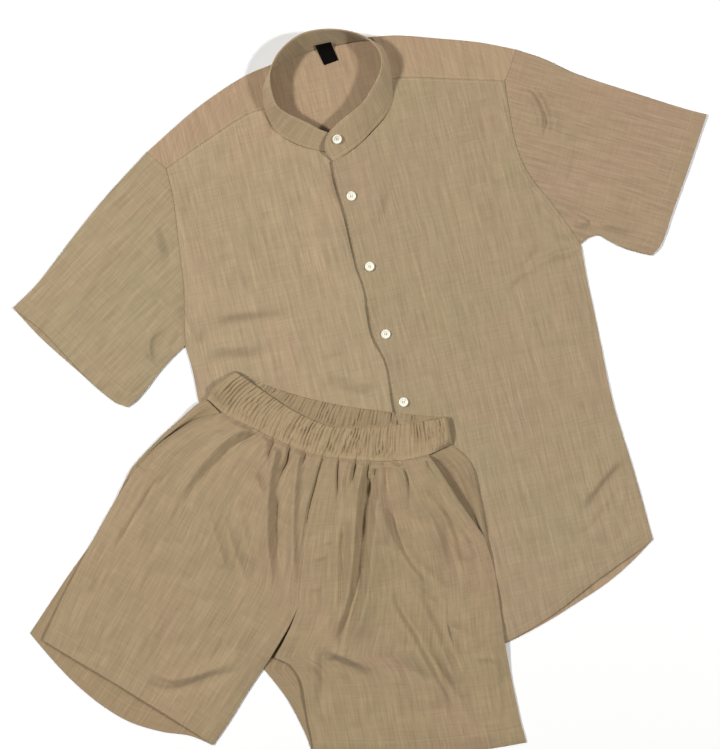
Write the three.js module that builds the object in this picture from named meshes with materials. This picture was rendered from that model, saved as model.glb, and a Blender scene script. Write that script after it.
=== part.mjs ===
import * as THREE from 'three';

// Driving dimensions of the set, in millimetres.
const CLOTH = 1.0;
const SEAM = 0.3;
const LAYER = CLOTH + SEAM;
const SHIRT_PUFF = 1.6;
const SHORTS_PUFF = 1.6;
const PUFF_REACH = 18;
const LAP_RISE = 1.5;
const SHORTS_RISE = 6.2;
const COLLAR_WALL = 1.8;
const BACK_BAND_WALL = 1.8;
const FRONT_BAND_WALL = 1.6;
const RIB_RISE = 1.3;
const RIB_COUNT = 46;
const POCKET_TUCK = 11;
const POCKET_CLEAR = 0.3;
const BUTTON_RADIUS = 6.0;
const BUTTON_THICK = 2.6;

// Each garment is drawn flat in its own frame: across first, up the garment second.
const SHIRT_PLACE = { x: -19.9, y: 319.5, turn: 14 };
const SHORTS_PLACE = { x: -34.3, y: -80.0, turn: -9 };

// Colours of the cloth, the label and the buttons.
const COLOURS = {
  shirtBack: 0xab9578,
  frontLeft: 0xb0997a,
  frontRight: 0xaa9676,
  sleeve: 0xab9878,
  collar: 0xa8926f,
  shortsLeft: 0xa89273,
  shortsRight: 0xa08b6c,
  shortsBack: 0x9c8768,
  band: 0xa38e6e,
  label: 0x0a0808,
  button: 0xe1e0cf,
};

function toWorld(place, point) {
  const angle = (place.turn * Math.PI) / 180;
  const x = place.x + point[0] * Math.cos(angle) - point[1] * Math.sin(angle);
  const y = place.y + point[0] * Math.sin(angle) + point[1] * Math.cos(angle);
  return [x, y];
}

function toGarment(place, point) {
  const angle = (place.turn * Math.PI) / 180;
  const x = point[0] - place.x;
  const y = point[1] - place.y;
  return [x * Math.cos(angle) + y * Math.sin(angle), y * Math.cos(angle) - x * Math.sin(angle)];
}

function smooth(from, to, value) {
  const f = Math.min(1, Math.max(0, (value - from) / (to - from)));
  return f * f * (3 - 2 * f);
}

// A smooth line through a few points, asked for by its fraction of length.
function curve(points) {
  const last = points.length - 1;
  const at = [0];
  for (let i = 1; i <= last; i += 1) {
    at.push(at[i - 1] + Math.hypot(points[i][0] - points[i - 1][0], points[i][1] - points[i - 1][1]));
  }
  const slopes = points.map((point, i) => {
    const before = Math.max(0, i - 1);
    const after = Math.min(last, i + 1);
    return point.map((value, axis) => (points[after][axis] - points[before][axis]) / (at[after] - at[before]));
  });
  return (fraction) => {
    const travel = Math.min(1, Math.max(0, fraction)) * at[last];
    let i = 0;
    while (i < last - 1 && at[i + 1] < travel) {
      i += 1;
    }
    const span = at[i + 1] - at[i];
    const f = (travel - at[i]) / span;
    const near = 1 - f * f * (3 - 2 * f);
    const leave = f * (1 - f) * (1 - f) * span;
    const arrive = f * f * (1 - f) * span;
    return points[i].map((value, axis) => (
      near * value + (1 - near) * points[i + 1][axis]
      + leave * slopes[i][axis] - arrive * slopes[i + 1][axis]));
  };
}

// Several lines end to end; each row is a line and the fraction where it ends.
function joined(...rows) {
  return (fraction) => {
    let start = 0;
    for (const [line, end] of rows) {
      if (fraction <= end || end === 1) {
        return line((fraction - start) / (end - start));
      }
      start = end;
    }
    return rows[rows.length - 1][0](1);
  };
}

function reversed(line) {
  return (fraction) => line(1 - fraction);
}

// The stretch of a line between two distances across the garment.
function stretchOf(line, fromAcross, toAcross) {
  const [from, to] = [fromAcross, toAcross].map((across) => {
    let low = 0;
    let high = 1;
    for (let i = 0; i < 40; i += 1) {
      const middle = (low + high) / 2;
      if (line(middle)[0] < across) {
        low = middle;
      } else {
        high = middle;
      }
    }
    return low;
  });
  return (fraction) => line(from + (to - from) * fraction);
}

// Fractions from 0 to 1 with a given number of steps up to each stop.
function spread(...rows) {
  const list = [0];
  let start = 0;
  for (const [end, count] of rows) {
    for (let i = 1; i <= count; i += 1) {
      list.push(start + ((end - start) * i) / count);
    }
    start = end;
  }
  return list;
}

function aside(line, amount) {
  return (fraction) => {
    const a = line(Math.max(0, fraction - 0.001));
    const b = line(Math.min(1, fraction + 0.001));
    const length = Math.hypot(b[0] - a[0], b[1] - a[1]);
    const p = line(fraction);
    return [p[0] - (amount * (b[1] - a[1])) / length, p[1] + (amount * (b[0] - a[0])) / length];
  };
}

function between(p, q, fraction) {
  return p.map((value, axis) => value + (q[axis] - value) * fraction);
}

// A flat panel filled in between four sides, each drawn in by half a seam.
function panelPlan(bottom, right, top, left) {
  const b = aside(bottom, SEAM / 2);
  const r = aside(right, SEAM / 2);
  const t = aside(top, -SEAM / 2);
  const l = aside(left, -SEAM / 2);
  const lowLeft = between(b(0), l(0), 0.5);
  const lowRight = between(b(1), r(0), 0.5);
  const topLeft = between(t(0), l(1), 0.5);
  const topRight = between(t(1), r(1), 0.5);
  return (s, w) => {
    const across = between(b(s), t(s), w);
    const along = between(l(w), r(w), s);
    const corners = between(between(lowLeft, lowRight, s), between(topLeft, topRight, s), w);
    return [across[0] + along[0] - corners[0], across[1] + along[1] - corners[1]];
  };
}

// A closed outline and the distance from a point to it, positive inside.
function outline(...rows) {
  const ring = [];
  for (const [line, count] of rows) {
    for (let i = 0; i < count; i += 1) {
      ring.push(line(i / count));
    }
  }
  return ring;
}

function inside(ring, u, v) {
  let nearest = 1e9;
  let within = false;
  for (let i = 0; i < ring.length; i += 1) {
    const p = ring[i];
    const q = ring[(i + 1) % ring.length];
    const du = q[0] - p[0];
    const dv = q[1] - p[1];
    const f = Math.min(1, Math.max(0, ((u - p[0]) * du + (v - p[1]) * dv) / (du * du + dv * dv)));
    nearest = Math.min(nearest, Math.hypot(u - p[0] - f * du, v - p[1] - f * dv));
    if ((p[1] > v) !== (q[1] > v) && u < p[0] + ((v - p[1]) * du) / dv) {
      within = !within;
    }
  }
  return within ? nearest : -nearest;
}

// Height of soft folds at a point; each fold fades out toward its two ends.
function foldHeight(folds, u, v) {
  let height = 0;
  for (const fold of folds) {
    let nearest = 1e9;
    let along = 0;
    const pieces = fold.path.length - 1;
    for (let i = 0; i < pieces; i += 1) {
      const p = fold.path[i];
      const q = fold.path[i + 1];
      const du = q[0] - p[0];
      const dv = q[1] - p[1];
      const f = Math.min(1, Math.max(0, ((u - p[0]) * du + (v - p[1]) * dv) / (du * du + dv * dv)));
      const distance = Math.hypot(u - p[0] - f * du, v - p[1] - f * dv);
      if (distance < nearest) {
        nearest = distance;
        along = (i + f) / pieces;
      }
    }
    const fade = smooth(0, 0.3, along) * smooth(1, 0.7, along);
    height += fold.rise * fade * Math.exp(-((nearest / fold.half) ** 2));
  }
  return height;
}

// One closed body of cloth; every node has a point on each face of the cloth.
function clothMesh(name, colour, roughness, nodes, cells) {
  const count = nodes.length;
  const points = nodes.map((node) => node.outer).concat(nodes.map((node) => node.inner));
  const faces = [];
  const used = new Set();
  for (const cell of cells) {
    for (let i = 0; i < 4; i += 1) {
      used.add(`${cell[i]}>${cell[(i + 1) % 4]}`);
    }
  }
  for (const [a, b, c, d] of cells) {
    faces.push([a, b, c], [a, c, d]);
    faces.push([a + count, c + count, b + count], [a + count, d + count, c + count]);
    for (const [p, q] of [[a, b], [b, c], [c, d], [d, a]]) {
      if (!used.has(`${q}>${p}`)) {
        faces.push([q, p, p + count], [q, p + count, q + count]);
      }
    }
  }
  return solidMesh(name, colour, roughness, points, faces);
}

function solidMesh(name, colour, roughness, points, faces) {
  let volume = 0;
  for (const [a, b, c] of faces) {
    const p = new THREE.Vector3(...points[a]);
    const q = new THREE.Vector3(...points[b]);
    const r = new THREE.Vector3(...points[c]);
    volume += p.dot(q.cross(r));
  }
  const turned = volume < 0 ? faces.map(([a, b, c]) => [a, c, b]) : faces;
  const geometry = new THREE.BufferGeometry();
  geometry.setAttribute('position', new THREE.Float32BufferAttribute(points.flat(), 3));
  geometry.setIndex(turned.flat());
  geometry.computeVertexNormals();
  const material = new THREE.MeshStandardMaterial({ color: colour, roughness, metalness: 0 });
  const mesh = new THREE.Mesh(geometry, material);
  mesh.name = name;
  return mesh;
}

// A panel lying flat between a lower and an upper height.
function flatPanel(name, colour, place, plan, columns, rows, low, high) {
  const nodes = [];
  for (const w of rows) {
    for (const s of columns) {
      const point = plan(s, w);
      const [x, y] = toWorld(place, point);
      const under = low(point[0], point[1], s, w);
      const over = high(point[0], point[1], s, w);
      nodes.push({ outer: [x, y, over], inner: [x, y, under] });
    }
  }
  const cells = [];
  const wide = columns.length;
  for (let j = 0; j + 1 < rows.length; j += 1) {
    for (let i = 0; i + 1 < wide; i += 1) {
      const a = j * wide + i;
      cells.push([a, a + 1, a + 1 + wide, a + wide]);
    }
  }
  return clothMesh(name, colour, 0.9, nodes, cells);
}

// Seam and edge lines of the shirt, level with the top button on its middle line.
const hemBack = curve([[-258, -584], [-238, -595], [-169, -628], [-79, -659], [0, -672],
  [79, -659], [168, -631], [200, -618], [230, -602], [258, -584]]);
const hemFrontRight = curve([[-20, -667], [45, -665], [111, -646], [171, -619], [247, -589], [258, -584]]);
const hemFrontLeft = curve([[-258, -584], [-247, -589], [-171, -619], [-111, -646], [-45, -665], [3, -668]]);
const sideRight = curve([[258, -584], [256, -500], [251, -400], [255, -300], [257, -240], [260, -198]]);
const sideLeft = curve([[-258, -584], [-259, -400], [-259, -271], [-257, -240], [-258, -202]]);
const armholeRight = curve([[260, -198], [245, -160], [234, -133], [218, -99], [210, -58], [212, -17], [216, 26]]);
const armholeLeft = curve([[-258, -202], [-251, -168], [-242, -131], [-234, -70], [-228, -20], [-227, 22]]);
const stripEndRight = curve([[216, 26], [225, 38], [240, 62]]);
const stripEndLeft = curve([[-227, 22], [-236, 34], [-246, 49]]);
const stripSeamRight = curve([[76, 63], [90, 62], [150, 45], [216, 26]]);
const stripSeamLeft = curve([[-227, 22], [-153, 50], [-110, 64], [-85, 65]]);
const foldRight = curve([[64, 122], [97, 116], [146, 100], [197, 82], [240, 62]]);
const foldLeft = curve([[-246, 49], [-170, 88], [-104, 112], [-62, 119]]);
const neckBack = curve([[-62, 119], [-40, 122], [-12, 126], [21, 125], [45, 124], [64, 122]]);
const neckSideRight = curve([[76, 63], [78, 86], [74, 106], [64, 122]]);
const neckSideLeft = curve([[-85, 65], [-84, 84], [-76, 103], [-62, 119]]);
const neckFrontRight = curve([[-21, -21], [-1, -16], [22, -6], [41, 6], [58, 18], [72, 36], [76, 63]]);
const neckFrontLeft = curve([[-85, 65], [-83, 48], [-76, 32], [-62, 17], [-46, 5], [-22, -9], [3, -14]]);
const plackRight = curve([[-20, -667], [-20, -348], [-16, -287], [-24, -245], [-20, -189], [-23, -155],
  [-21, -90], [-23, -47], [-21, -21]]);
const plackLeft = curve([[3, -668], [3, -340], [3, -14]]);
const sleeveFoldRight = curve([[240, 62], [271, 42], [306, 14], [374, -29], [426, -61], [455, -77]]);
const sleeveFoldLeft = curve([[-459, -102], [-422, -80], [-359, -30], [-311, 6], [-246, 49]]);
const sleeveHemRight = curve([[344, -234], [356, -226], [367, -212], [384, -185], [411, -145], [455, -77]]);
const sleeveHemLeft = curve([[-348, -260], [-362, -249], [-390, -210], [-429, -141], [-459, -102]]);
const sleeveUnderHemLeft = curve([[-348, -260], [-364, -248], [-401, -196], [-435, -146], [-459, -102]]);
const underarmRight = curve([[260, -198], [272, -193], [285, -193], [296, -203], [313, -217], [330, -227], [344, -234]]);
const underarmLeft = curve([[-348, -260], [-332, -253], [-293, -223], [-268, -207], [-258, -202]]);

const shirtOutline = outline([hemBack, 18], [sideRight, 8], [underarmRight, 8], [sleeveHemRight, 8],
  [reversed(sleeveFoldRight), 8], [reversed(foldRight), 8], [reversed(neckBack), 6], [reversed(foldLeft), 8],
  [reversed(sleeveFoldLeft), 8], [reversed(sleeveHemLeft), 8], [underarmLeft, 8], [reversed(sideLeft), 8]);

// Main soft folds of the shirt: middle line, half width and height of each.
const shirtFolds = [
  { path: [[-236, -163], [-171, -192], [-96, -206]], half: 13, rise: 0.9 },
  { path: [[-234, -207], [-156, -235], [-84, -261]], half: 14, rise: 1.0 },
  { path: [[-232, -251], [-139, -274], [-74, -299]], half: 14, rise: 0.9 },
  { path: [[-134, -81], [-115, -79], [-60, -100]], half: 12, rise: 0.8 },
  { path: [[92, -113], [76, -225], [70, -328]], half: 18, rise: 0.7 },
  { path: [[142, -562], [194, -536], [245, -490]], half: 14, rise: 1.0 },
  { path: [[164, -95], [185, -90], [207, -81]], half: 12, rise: 0.9 },
  { path: [[236, 12], [253, -13], [252, -53], [239, -93]], half: 13, rise: 1.3 },
  { path: [[330, -15], [372, -60], [390, -120]], half: 16, rise: 0.8 },
  { path: [[-254, -40], [-248, -70], [-250, -102]], half: 13, rise: 0.9 },
  { path: [[-300, -30], [-350, -90], [-400, -130]], half: 18, rise: 0.8 },
];

// Underside of the upper layer of the shirt, resting on the lower one.
function shirtUnder(u, v) {
  const puff = SHIRT_PUFF * (1 - Math.exp(-Math.max(0, inside(shirtOutline, u, v)) / PUFF_REACH));
  return LAYER + puff + foldHeight(shirtFolds, u, v);
}

function lapRise(u) {
  return LAP_RISE * smooth(38, 9, u);
}

function shirtFront(name, colour, plan, rise) {
  const columns = spread([0.5, 8], [1, 8]);
  const rows = spread([0.6, 10], [1, 8]);
  const low = (u, v) => shirtUnder(u, v) + rise(u);
  const high = (u, v) => low(u, v) + CLOTH;
  return flatPanel(name, colour, SHIRT_PLACE, plan, columns, rows, low, high);
}

function buildFrontLeft() {
  const right = plackLeft;
  const left = joined([sideLeft, 0.6], [armholeLeft, 1]);
  const top = joined([stripSeamLeft, 0.5], [neckFrontLeft, 1]);
  const plan = panelPlan(hemFrontLeft, right, top, left);
  return shirtFront('shirt_front_left', COLOURS.frontLeft, plan, () => 0);
}

function buildFrontRight() {
  const right = joined([sideRight, 0.6], [armholeRight, 1]);
  const top = joined([neckFrontRight, 0.5], [stripSeamRight, 1]);
  const plan = panelPlan(hemFrontRight, right, top, plackRight);
  return shirtFront('shirt_front_right', COLOURS.frontRight, plan, lapRise);
}

// Points of a cloth edge folded over, from the lower layer up to the upper one.
function foldedEdge(place, edge, inner) {
  const radius = (LAYER + CLOTH) / 2;
  const reach = Math.hypot(edge[0] - inner[0], edge[1] - inner[1]);
  const centre = between(edge, inner, radius / reach);
  return [-90, -30, 30, 90].map((degrees) => {
    const angle = (degrees * Math.PI) / 180;
    const ring = [radius, radius - CLOTH].map((size) => {
      const point = between(centre, edge, (size * Math.cos(angle)) / radius);
      return [...toWorld(place, point), radius + size * Math.sin(angle)];
    });
    return { outer: ring[0], inner: ring[1] };
  });
}

// The back runs up from the hem, folds over both shoulders and ends at the strip seams.
function buildShirtBack() {
  const right = joined([sideRight, 0.55], [armholeRight, 0.92], [stripEndRight, 1]);
  const left = joined([sideLeft, 0.55], [armholeLeft, 0.92], [stripEndLeft, 1]);
  const top = joined([foldLeft, 0.35], [neckBack, 0.65], [foldRight, 1]);
  const plan = panelPlan(hemBack, right, top, left);
  const columns = spread([0.35, 8], [0.65, 7], [1, 8]);
  const rows = spread([0.55, 10], [0.92, 8], [1, 2]);
  const stripLeft = panelPlan(stripSeamLeft, neckSideLeft, foldLeft, stripEndLeft);
  const stripRight = panelPlan(stripSeamRight, stripEndRight, foldRight, neckSideRight);
  const nodes = [];
  const cells = [];
  const grid = [];
  const add = (node) => {
    nodes.push(node);
    return nodes.length - 1;
  };
  const lie = (point, low) => {
    const [x, y] = toWorld(SHIRT_PLACE, point);
    return { outer: [x, y, low < 1 ? 0 : low + CLOTH], inner: [x, y, low < 1 ? CLOTH : low] };
  };
  columns.forEach((s, i) => {
    const shoulder = i <= 8 || i >= 15;
    const strip = i <= 8 ? (w) => stripLeft(i / 8, w) : (w) => stripRight((i - 15) / 8, w);
    const column = rows.slice(0, -1).map((w) => add(lie(plan(s, w), 0)));
    if (shoulder) {
      const edge = plan(s, 1);
      for (const node of foldedEdge(SHIRT_PLACE, edge, strip(0.5))) {
        column.push(add(node));
      }
      for (const w of [0.5, 0]) {
        const point = strip(w);
        column.push(add(lie(point, shirtUnder(point[0], point[1]))));
      }
    } else {
      column.push(add(lie(plan(s, 1), 0)));
    }
    grid.push(column);
  });
  for (let i = 0; i + 1 < grid.length; i += 1) {
    const shared = Math.min(grid[i].length, grid[i + 1].length);
    for (let j = 0; j + 1 < shared; j += 1) {
      cells.push([grid[i][j], grid[i][j + 1], grid[i + 1][j + 1], grid[i + 1][j]]);
    }
  }
  return clothMesh('shirt_back', COLOURS.shirtBack, 0.9, nodes, cells);
}

// A sleeve is a flattened tube, folded along its top and along the underarm.
function buildSleeve(name, colour, upper, lower) {
  const along = spread([1, 12]);
  const across = spread([0.86, 8], [1, 2]).slice(1, -1);
  const nodes = [];
  for (const s of along) {
    const fold = foldedEdge(SHIRT_PLACE, upper(s, 1), upper(s, 0.9));
    const underarm = foldedEdge(SHIRT_PLACE, upper(s, 0), upper(s, 0.1)).reverse();
    nodes.push(underarm[3]);
    for (const w of across) {
      const [x, y] = toWorld(SHIRT_PLACE, lower(s, w));
      nodes.push({ outer: [x, y, 0], inner: [x, y, CLOTH] });
    }
    nodes.push(...fold);
    for (const w of [...across].reverse()) {
      const point = upper(s, w);
      const [x, y] = toWorld(SHIRT_PLACE, point);
      const low = shirtUnder(point[0], point[1]);
      nodes.push({ outer: [x, y, low + CLOTH], inner: [x, y, low] });
    }
    nodes.push(...underarm.slice(0, 3));
  }
  const round = nodes.length / along.length;
  const cells = [];
  for (let i = 0; i + 1 < along.length; i += 1) {
    for (let k = 0; k < round; k += 1) {
      const next = (k + 1) % round;
      cells.push([i * round + k, i * round + next, (i + 1) * round + next, (i + 1) * round + k]);
    }
  }
  return clothMesh(name, colour, 0.9, nodes, cells);
}

function buildSleeves() {
  const shoulderRight = joined([armholeRight, 0.86], [stripEndRight, 1]);
  const shoulderLeft = joined([armholeLeft, 0.86], [stripEndLeft, 1]);
  const right = panelPlan(underarmRight, sleeveHemRight, sleeveFoldRight, shoulderRight);
  const leftUpper = panelPlan(underarmLeft, shoulderLeft, sleeveFoldLeft, sleeveHemLeft);
  const leftLower = panelPlan(underarmLeft, shoulderLeft, sleeveFoldLeft, sleeveUnderHemLeft);
  return [
    buildSleeve('sleeve_right', COLOURS.sleeve, right, right),
    buildSleeve('sleeve_left', COLOURS.sleeve, leftUpper, leftLower),
  ];
}

// Sections of the standing collar: foot and rim of each, from the lapping end round the neck.
const collarSections = [
  { foot: [-20, -20, 6.9], rim: [-15, 16, 20] },
  { foot: [-2, -14, 6.8], rim: [3, 26, 23] },
  { foot: [21, -4, 6.2], rim: [18, 32, 26] },
  { foot: [40, 8, 5.5], rim: [34, 40, 28] },
  { foot: [57, 20, 5.4], rim: [48, 53, 29] },
  { foot: [71, 37, 5.4], rim: [60, 66, 31] },
  { foot: [77, 61, 5.4], rim: [68, 79, 32] },
  { foot: [79, 85, 5.2], rim: [70, 95, 33] },
  { foot: [75, 106, 4.8], rim: [63, 111, 33] },
  { foot: [58, 119, 3.9], rim: [46, 126, 34] },
  { foot: [21, 123, 2.7], rim: [18, 138, 34] },
  { foot: [-12, 124, 2.5], rim: [-13, 142, 34] },
  { foot: [-41, 120, 2.9], rim: [-36, 136, 34] },
  { foot: [-66, 112, 4.0], rim: [-56, 123, 33] },
  { foot: [-81, 95, 5.0], rim: [-70, 104, 32] },
  { foot: [-87, 70, 5.3], rim: [-74, 82, 31] },
  { foot: [-84, 47, 5.4], rim: [-71, 61, 29] },
  { foot: [-77, 30, 5.4], rim: [-58, 47, 27] },
  { foot: [-61, 15, 5.4], rim: [-41, 34, 23] },
  { foot: [-45, 4, 5.4], rim: [-26, 21, 19] },
  { foot: [-24, -6, 5.4], rim: [-10, 11, 14.5] },
];

const collarFoot = curve(collarSections.map((row) => row.foot));
const collarRim = curve(collarSections.map((row) => row.rim));

// Point on the middle of the collar: s goes round the neck, h from foot to rim.
function collarPoint(s, h) {
  const foot = collarFoot(s);
  const rim = collarRim(s);
  const bulge = 8.5 * 4 * h * (1 - h) * Math.max(0, 1 - s / 0.08) ** 2;
  const point = between(foot, rim, h);
  const [x, y] = toWorld(SHIRT_PLACE, [point[0] - bulge, point[1]]);
  return new THREE.Vector3(x, y, point[2]);
}

function collarNormal(s, h) {
  const along = collarPoint(Math.min(1, s + 0.003), h).sub(collarPoint(Math.max(0, s - 0.003), h));
  const up = collarPoint(s, Math.min(1, h + 0.02)).sub(collarPoint(s, Math.max(0, h - 0.02)));
  return along.cross(up).normalize();
}

function buildCollar() {
  const nodes = [];
  const round = 48;
  const high = 4;
  for (let i = 0; i <= round; i += 1) {
    for (let j = 0; j <= high; j += 1) {
      const centre = collarPoint(i / round, j / high);
      const normal = collarNormal(i / round, j / high);
      const outer = centre.clone().addScaledVector(normal, COLLAR_WALL / 2);
      const inner = centre.clone().addScaledVector(normal, -COLLAR_WALL / 2);
      nodes.push({ outer: outer.toArray(), inner: inner.toArray() });
    }
  }
  const cells = [];
  for (let i = 0; i < round; i += 1) {
    for (let j = 0; j < high; j += 1) {
      const a = i * (high + 1) + j;
      cells.push([a, a + high + 1, a + high + 2, a + 1]);
    }
  }
  return clothMesh('collar_band', COLOURS.collar, 0.9, nodes, cells);
}

// The neck label lies on the back and bends up against the inside of the collar.
function buildLabel() {
  const sections = [
    { left: [-1, 101], right: [18, 103], middle: 1.8, lean: 0 },
    { left: [-3, 110], right: [16.6, 111.5], middle: 1.8, lean: 0 },
    { left: [-4.4, 117], right: [15.4, 118], middle: 2.1, lean: 18 },
    { left: [-5.2, 121.3], right: [14.8, 121.3], middle: 4.6, lean: 48 },
    { left: [-5.8, 124.0], right: [14.3, 123.6], middle: 8.4, lean: 58 },
    { left: [-6.3, 126.3], right: [14.0, 125.7], middle: 12.4, lean: 60 },
  ];
  const nodes = [];
  for (const row of sections) {
    const lean = (row.lean * Math.PI) / 180;
    for (const f of [0, 0.5, 1]) {
      const middle = between(row.left, row.right, f);
      const [outer, inner] = [0.5, -0.5].map((half) => {
        const point = [middle[0], middle[1] - half * CLOTH * Math.sin(lean)];
        return [...toWorld(SHIRT_PLACE, point), row.middle + half * CLOTH * Math.cos(lean)];
      });
      nodes.push({ outer, inner });
    }
  }
  const cells = [];
  for (let j = 0; j + 1 < sections.length; j += 1) {
    for (let i = 0; i < 2; i += 1) {
      const a = j * 3 + i;
      cells.push([a, a + 1, a + 4, a + 3]);
    }
  }
  return clothMesh('neck_label', COLOURS.label, 0.8, nodes, cells);
}

// Profile of a shirt button, from the middle of its top round to the middle of its underside.
const buttonProfile = [
  { radius: 0, height: 1.5 },
  { radius: 3.6, height: 1.6 },
  { radius: 4.6, height: BUTTON_THICK },
  { radius: 5.4, height: BUTTON_THICK },
  { radius: BUTTON_RADIUS, height: 1.9 },
  { radius: 5.7, height: 0.6 },
  { radius: 4.4, height: 0 },
  { radius: 0, height: 0 },
];

function buildButton(name, centre, axis) {
  const turn = new THREE.Quaternion().setFromUnitVectors(new THREE.Vector3(0, 0, 1), axis);
  const sides = 16;
  const points = [];
  const put = (x, y, z) => {
    points.push(new THREE.Vector3(x, y, z).applyQuaternion(turn).add(centre).toArray());
  };
  const rings = buttonProfile.slice(1, -1);
  put(0, 0, buttonProfile[0].height);
  for (const row of rings) {
    for (let k = 0; k < sides; k += 1) {
      const angle = (2 * Math.PI * k) / sides;
      put(row.radius * Math.cos(angle), row.radius * Math.sin(angle), row.height);
    }
  }
  put(0, 0, 0);
  const last = points.length - 1;
  const faces = [];
  for (let k = 0; k < sides; k += 1) {
    const next = (k + 1) % sides;
    faces.push([0, 1 + k, 1 + next]);
    for (let ring = 0; ring + 1 < rings.length; ring += 1) {
      const a = 1 + ring * sides + k;
      const b = 1 + ring * sides + next;
      faces.push([a, a + sides, b + sides], [a, b + sides, b]);
    }
    const a = 1 + (rings.length - 1) * sides;
    faces.push([last, a + next, a + k]);
  }
  return solidMesh(name, COLOURS.button, 0.4, points, faces);
}

// Buttons down the lapping front; the last two lie beneath the shorts.
const buttonRows = [[-8, -69], [-7, -161], [-8, -249], [-7, -338], [-7, -426], [-7, -514]];

function buildButtons() {
  const normal = collarNormal(0.03, 0.55);
  const side = normal.z < 0 ? -1 : 1;
  const axis = normal.multiplyScalar(side);
  const first = collarPoint(0.03, 0.55).addScaledVector(axis, COLLAR_WALL / 2 + 0.45);
  const buttons = [buildButton('button_1', first, axis)];
  buttonRows.forEach(([u, v], i) => {
    const [x, y] = toWorld(SHIRT_PLACE, [u, v]);
    const height = shirtUnder(u, v) + lapRise(u) + LAYER;
    const centre = new THREE.Vector3(x, y, height);
    buttons.push(buildButton(`button_${i + 2}`, centre, new THREE.Vector3(0, 0, 1)));
  });
  return buttons;
}

// Seam and edge lines of the shorts, level with the middle of the waistband's lower edge.
const bandFoot = curve([[-169, 48], [-140, 31], [-107, 21], [-75, 11], [-25, 0], [32, 1], [80, 8], [115, 20], [146, 40]]);
const bandTopFront = curve([[-139, 88], [-115, 76], [-68, 54], [-36, 43], [-3, 38], [42, 45], [101, 61], [135, 73]]);
const bandTopBack = curve([[-139, 90], [-98, 78], [-60, 71], [-4, 67], [51, 68], [100, 70], [135, 74]]);
const bandEndLeft = curve([[-169, 48], [-163, 63], [-151, 79], [-139, 89]]);
const bandEndRight = curve([[146, 40], [141, 57], [135, 73.5]]);
const panelTopLeft = stretchOf(bandFoot, -147, -8);
const panelTopRight = stretchOf(bandFoot, -8, 119);
const backTopLeft = stretchOf(bandFoot, -169, -8);
const backTopRight = stretchOf(bandFoot, -8, 146);
const bandMiddle = backTopLeft(1);
const pocketTopLeft = panelTopLeft(0);
const pocketTopRight = panelTopRight(1);
const centreUpper = curve([[-14, -195], [-17, -136], [-17, -77], [-14, -41], bandMiddle]);
const centreLower = curve([[-45, -279], [-22, -222], [-14, -195]]);
const centreLowerRight = curve([[-33, -262], [-20, -222], [-14, -195]]);
const pocketEdgeLeft = curve([[-245, -54], [-219, -17], [-180, 18], pocketTopLeft]);
const pocketEdgeRight = curve([[206, -70], [183, -47], [162, -25], [141, -1], pocketTopRight]);
const outerLeft = curve([[-345, -281], [-308, -200], [-286, -155], [-265, -99], [-249, -52], [-220, -9],
  [-195, 22], [-181, 39], [-169, 48]]);
const outerRight = curve([[299, -319], [286, -290], [252, -198], [226, -114], [208, -68], [188, -11],
  [172, 22], [146, 40]]);
const seamLeft = curve([[-327, -287], [-308, -221], [-290, -167]]);
const sideFrontLeft = curve([[-290, -167], [-265, -99], [-245, -54]]);
const sideFrontRight = curve([[299, -319], [286, -290], [252, -198], [226, -114], [206, -70]]);
const hemFrontLegLeft = curve([[-327, -287], [-261, -313], [-197, -339], [-147, -360], [-93, -385]]);
const hemBackLegLeft = curve([[-345, -281], [-321, -302], [-287, -329], [-245, -355], [-204, -372],
  [-160, -378.5], [-124, -378], [-93, -385]]);
const hemLegRight = curve([[35, -380], [144, -362], [252, -335], [299, -319]]);
const inseamLeft = curve([[-93, -385], [-77, -352], [-60, -311], [-45, -279]]);
const inseamRight = curve([[35, -380], [27, -364], [18, -349], [-10, -312], [-45, -279]]);
const inseamFrontRight = curve([[35, -380], [31, -362], [21, -335], [5, -289], [-12, -269], [-33, -262]]);

const shortsOutline = outline([hemBackLegLeft, 10], [inseamLeft, 5], [reversed(inseamRight), 6], [hemLegRight, 6],
  [outerRight, 12], [reversed(bandTopFront), 10], [reversed(outerLeft), 14]);

// Main folds of the shorts falling from the gathered waist: middle line, half width and height.
const shortsFolds = [
  { path: [[-80, 0], [-78, -60], [-66, -120], [-48, -170]], half: 13, rise: 3.2 },
  { path: [[-40, -4], [-37, -60], [-30, -120], [-16, -170]], half: 8, rise: 4.6 },
  { path: [[-2, -4], [0, -60], [8, -130], [20, -205]], half: 10, rise: 4.6 },
  { path: [[64, -4], [70, -66], [74, -140], [72, -235]], half: 13, rise: 7.4 },
  { path: [[98, 0], [116, -40], [126, -80]], half: 11, rise: 3.6 },
  { path: [[104, -120], [150, -168], [205, -212], [258, -246]], half: 15, rise: 4.4 },
  { path: [[134, -32], [170, -92], [215, -150]], half: 13, rise: 3.6 },
  { path: [[-116, -30], [-104, -100], [-82, -180]], half: 17, rise: 3.2 },
  { path: [[-140, 0], [-176, -60], [-196, -120]], half: 14, rise: 3.0 },
  { path: [[-230, -290], [-164, -306], [-80, -270]], half: 14, rise: 2.8 },
  { path: [[28, -236], [60, -240], [106, -262]], half: 11, rise: 3.6 },
  { path: [[60, -262], [66, -310], [80, -350]], half: 13, rise: 2.4 },
];

// Height of whatever lies beneath the shorts: the surface, or the shirt with its buttons.
function shortsRest(u, v) {
  const [su, sv] = toGarment(SHIRT_PLACE, toWorld(SHORTS_PLACE, [u, v]));
  let height = SHORTS_RISE * smooth(-46, 22, inside(shirtOutline, su, sv));
  for (const [bu, bv] of buttonRows.slice(4)) {
    height += 3.4 * Math.exp(-(((su - bu) ** 2 + (sv - bv) ** 2) / 784));
  }
  return height;
}

function pocketRise(u, v) {
  const ring = u < 0 ? pocketRings.left : pocketRings.right;
  return (LAYER + POCKET_CLEAR) * smooth(-24, -3, inside(ring, u, v));
}

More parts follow.
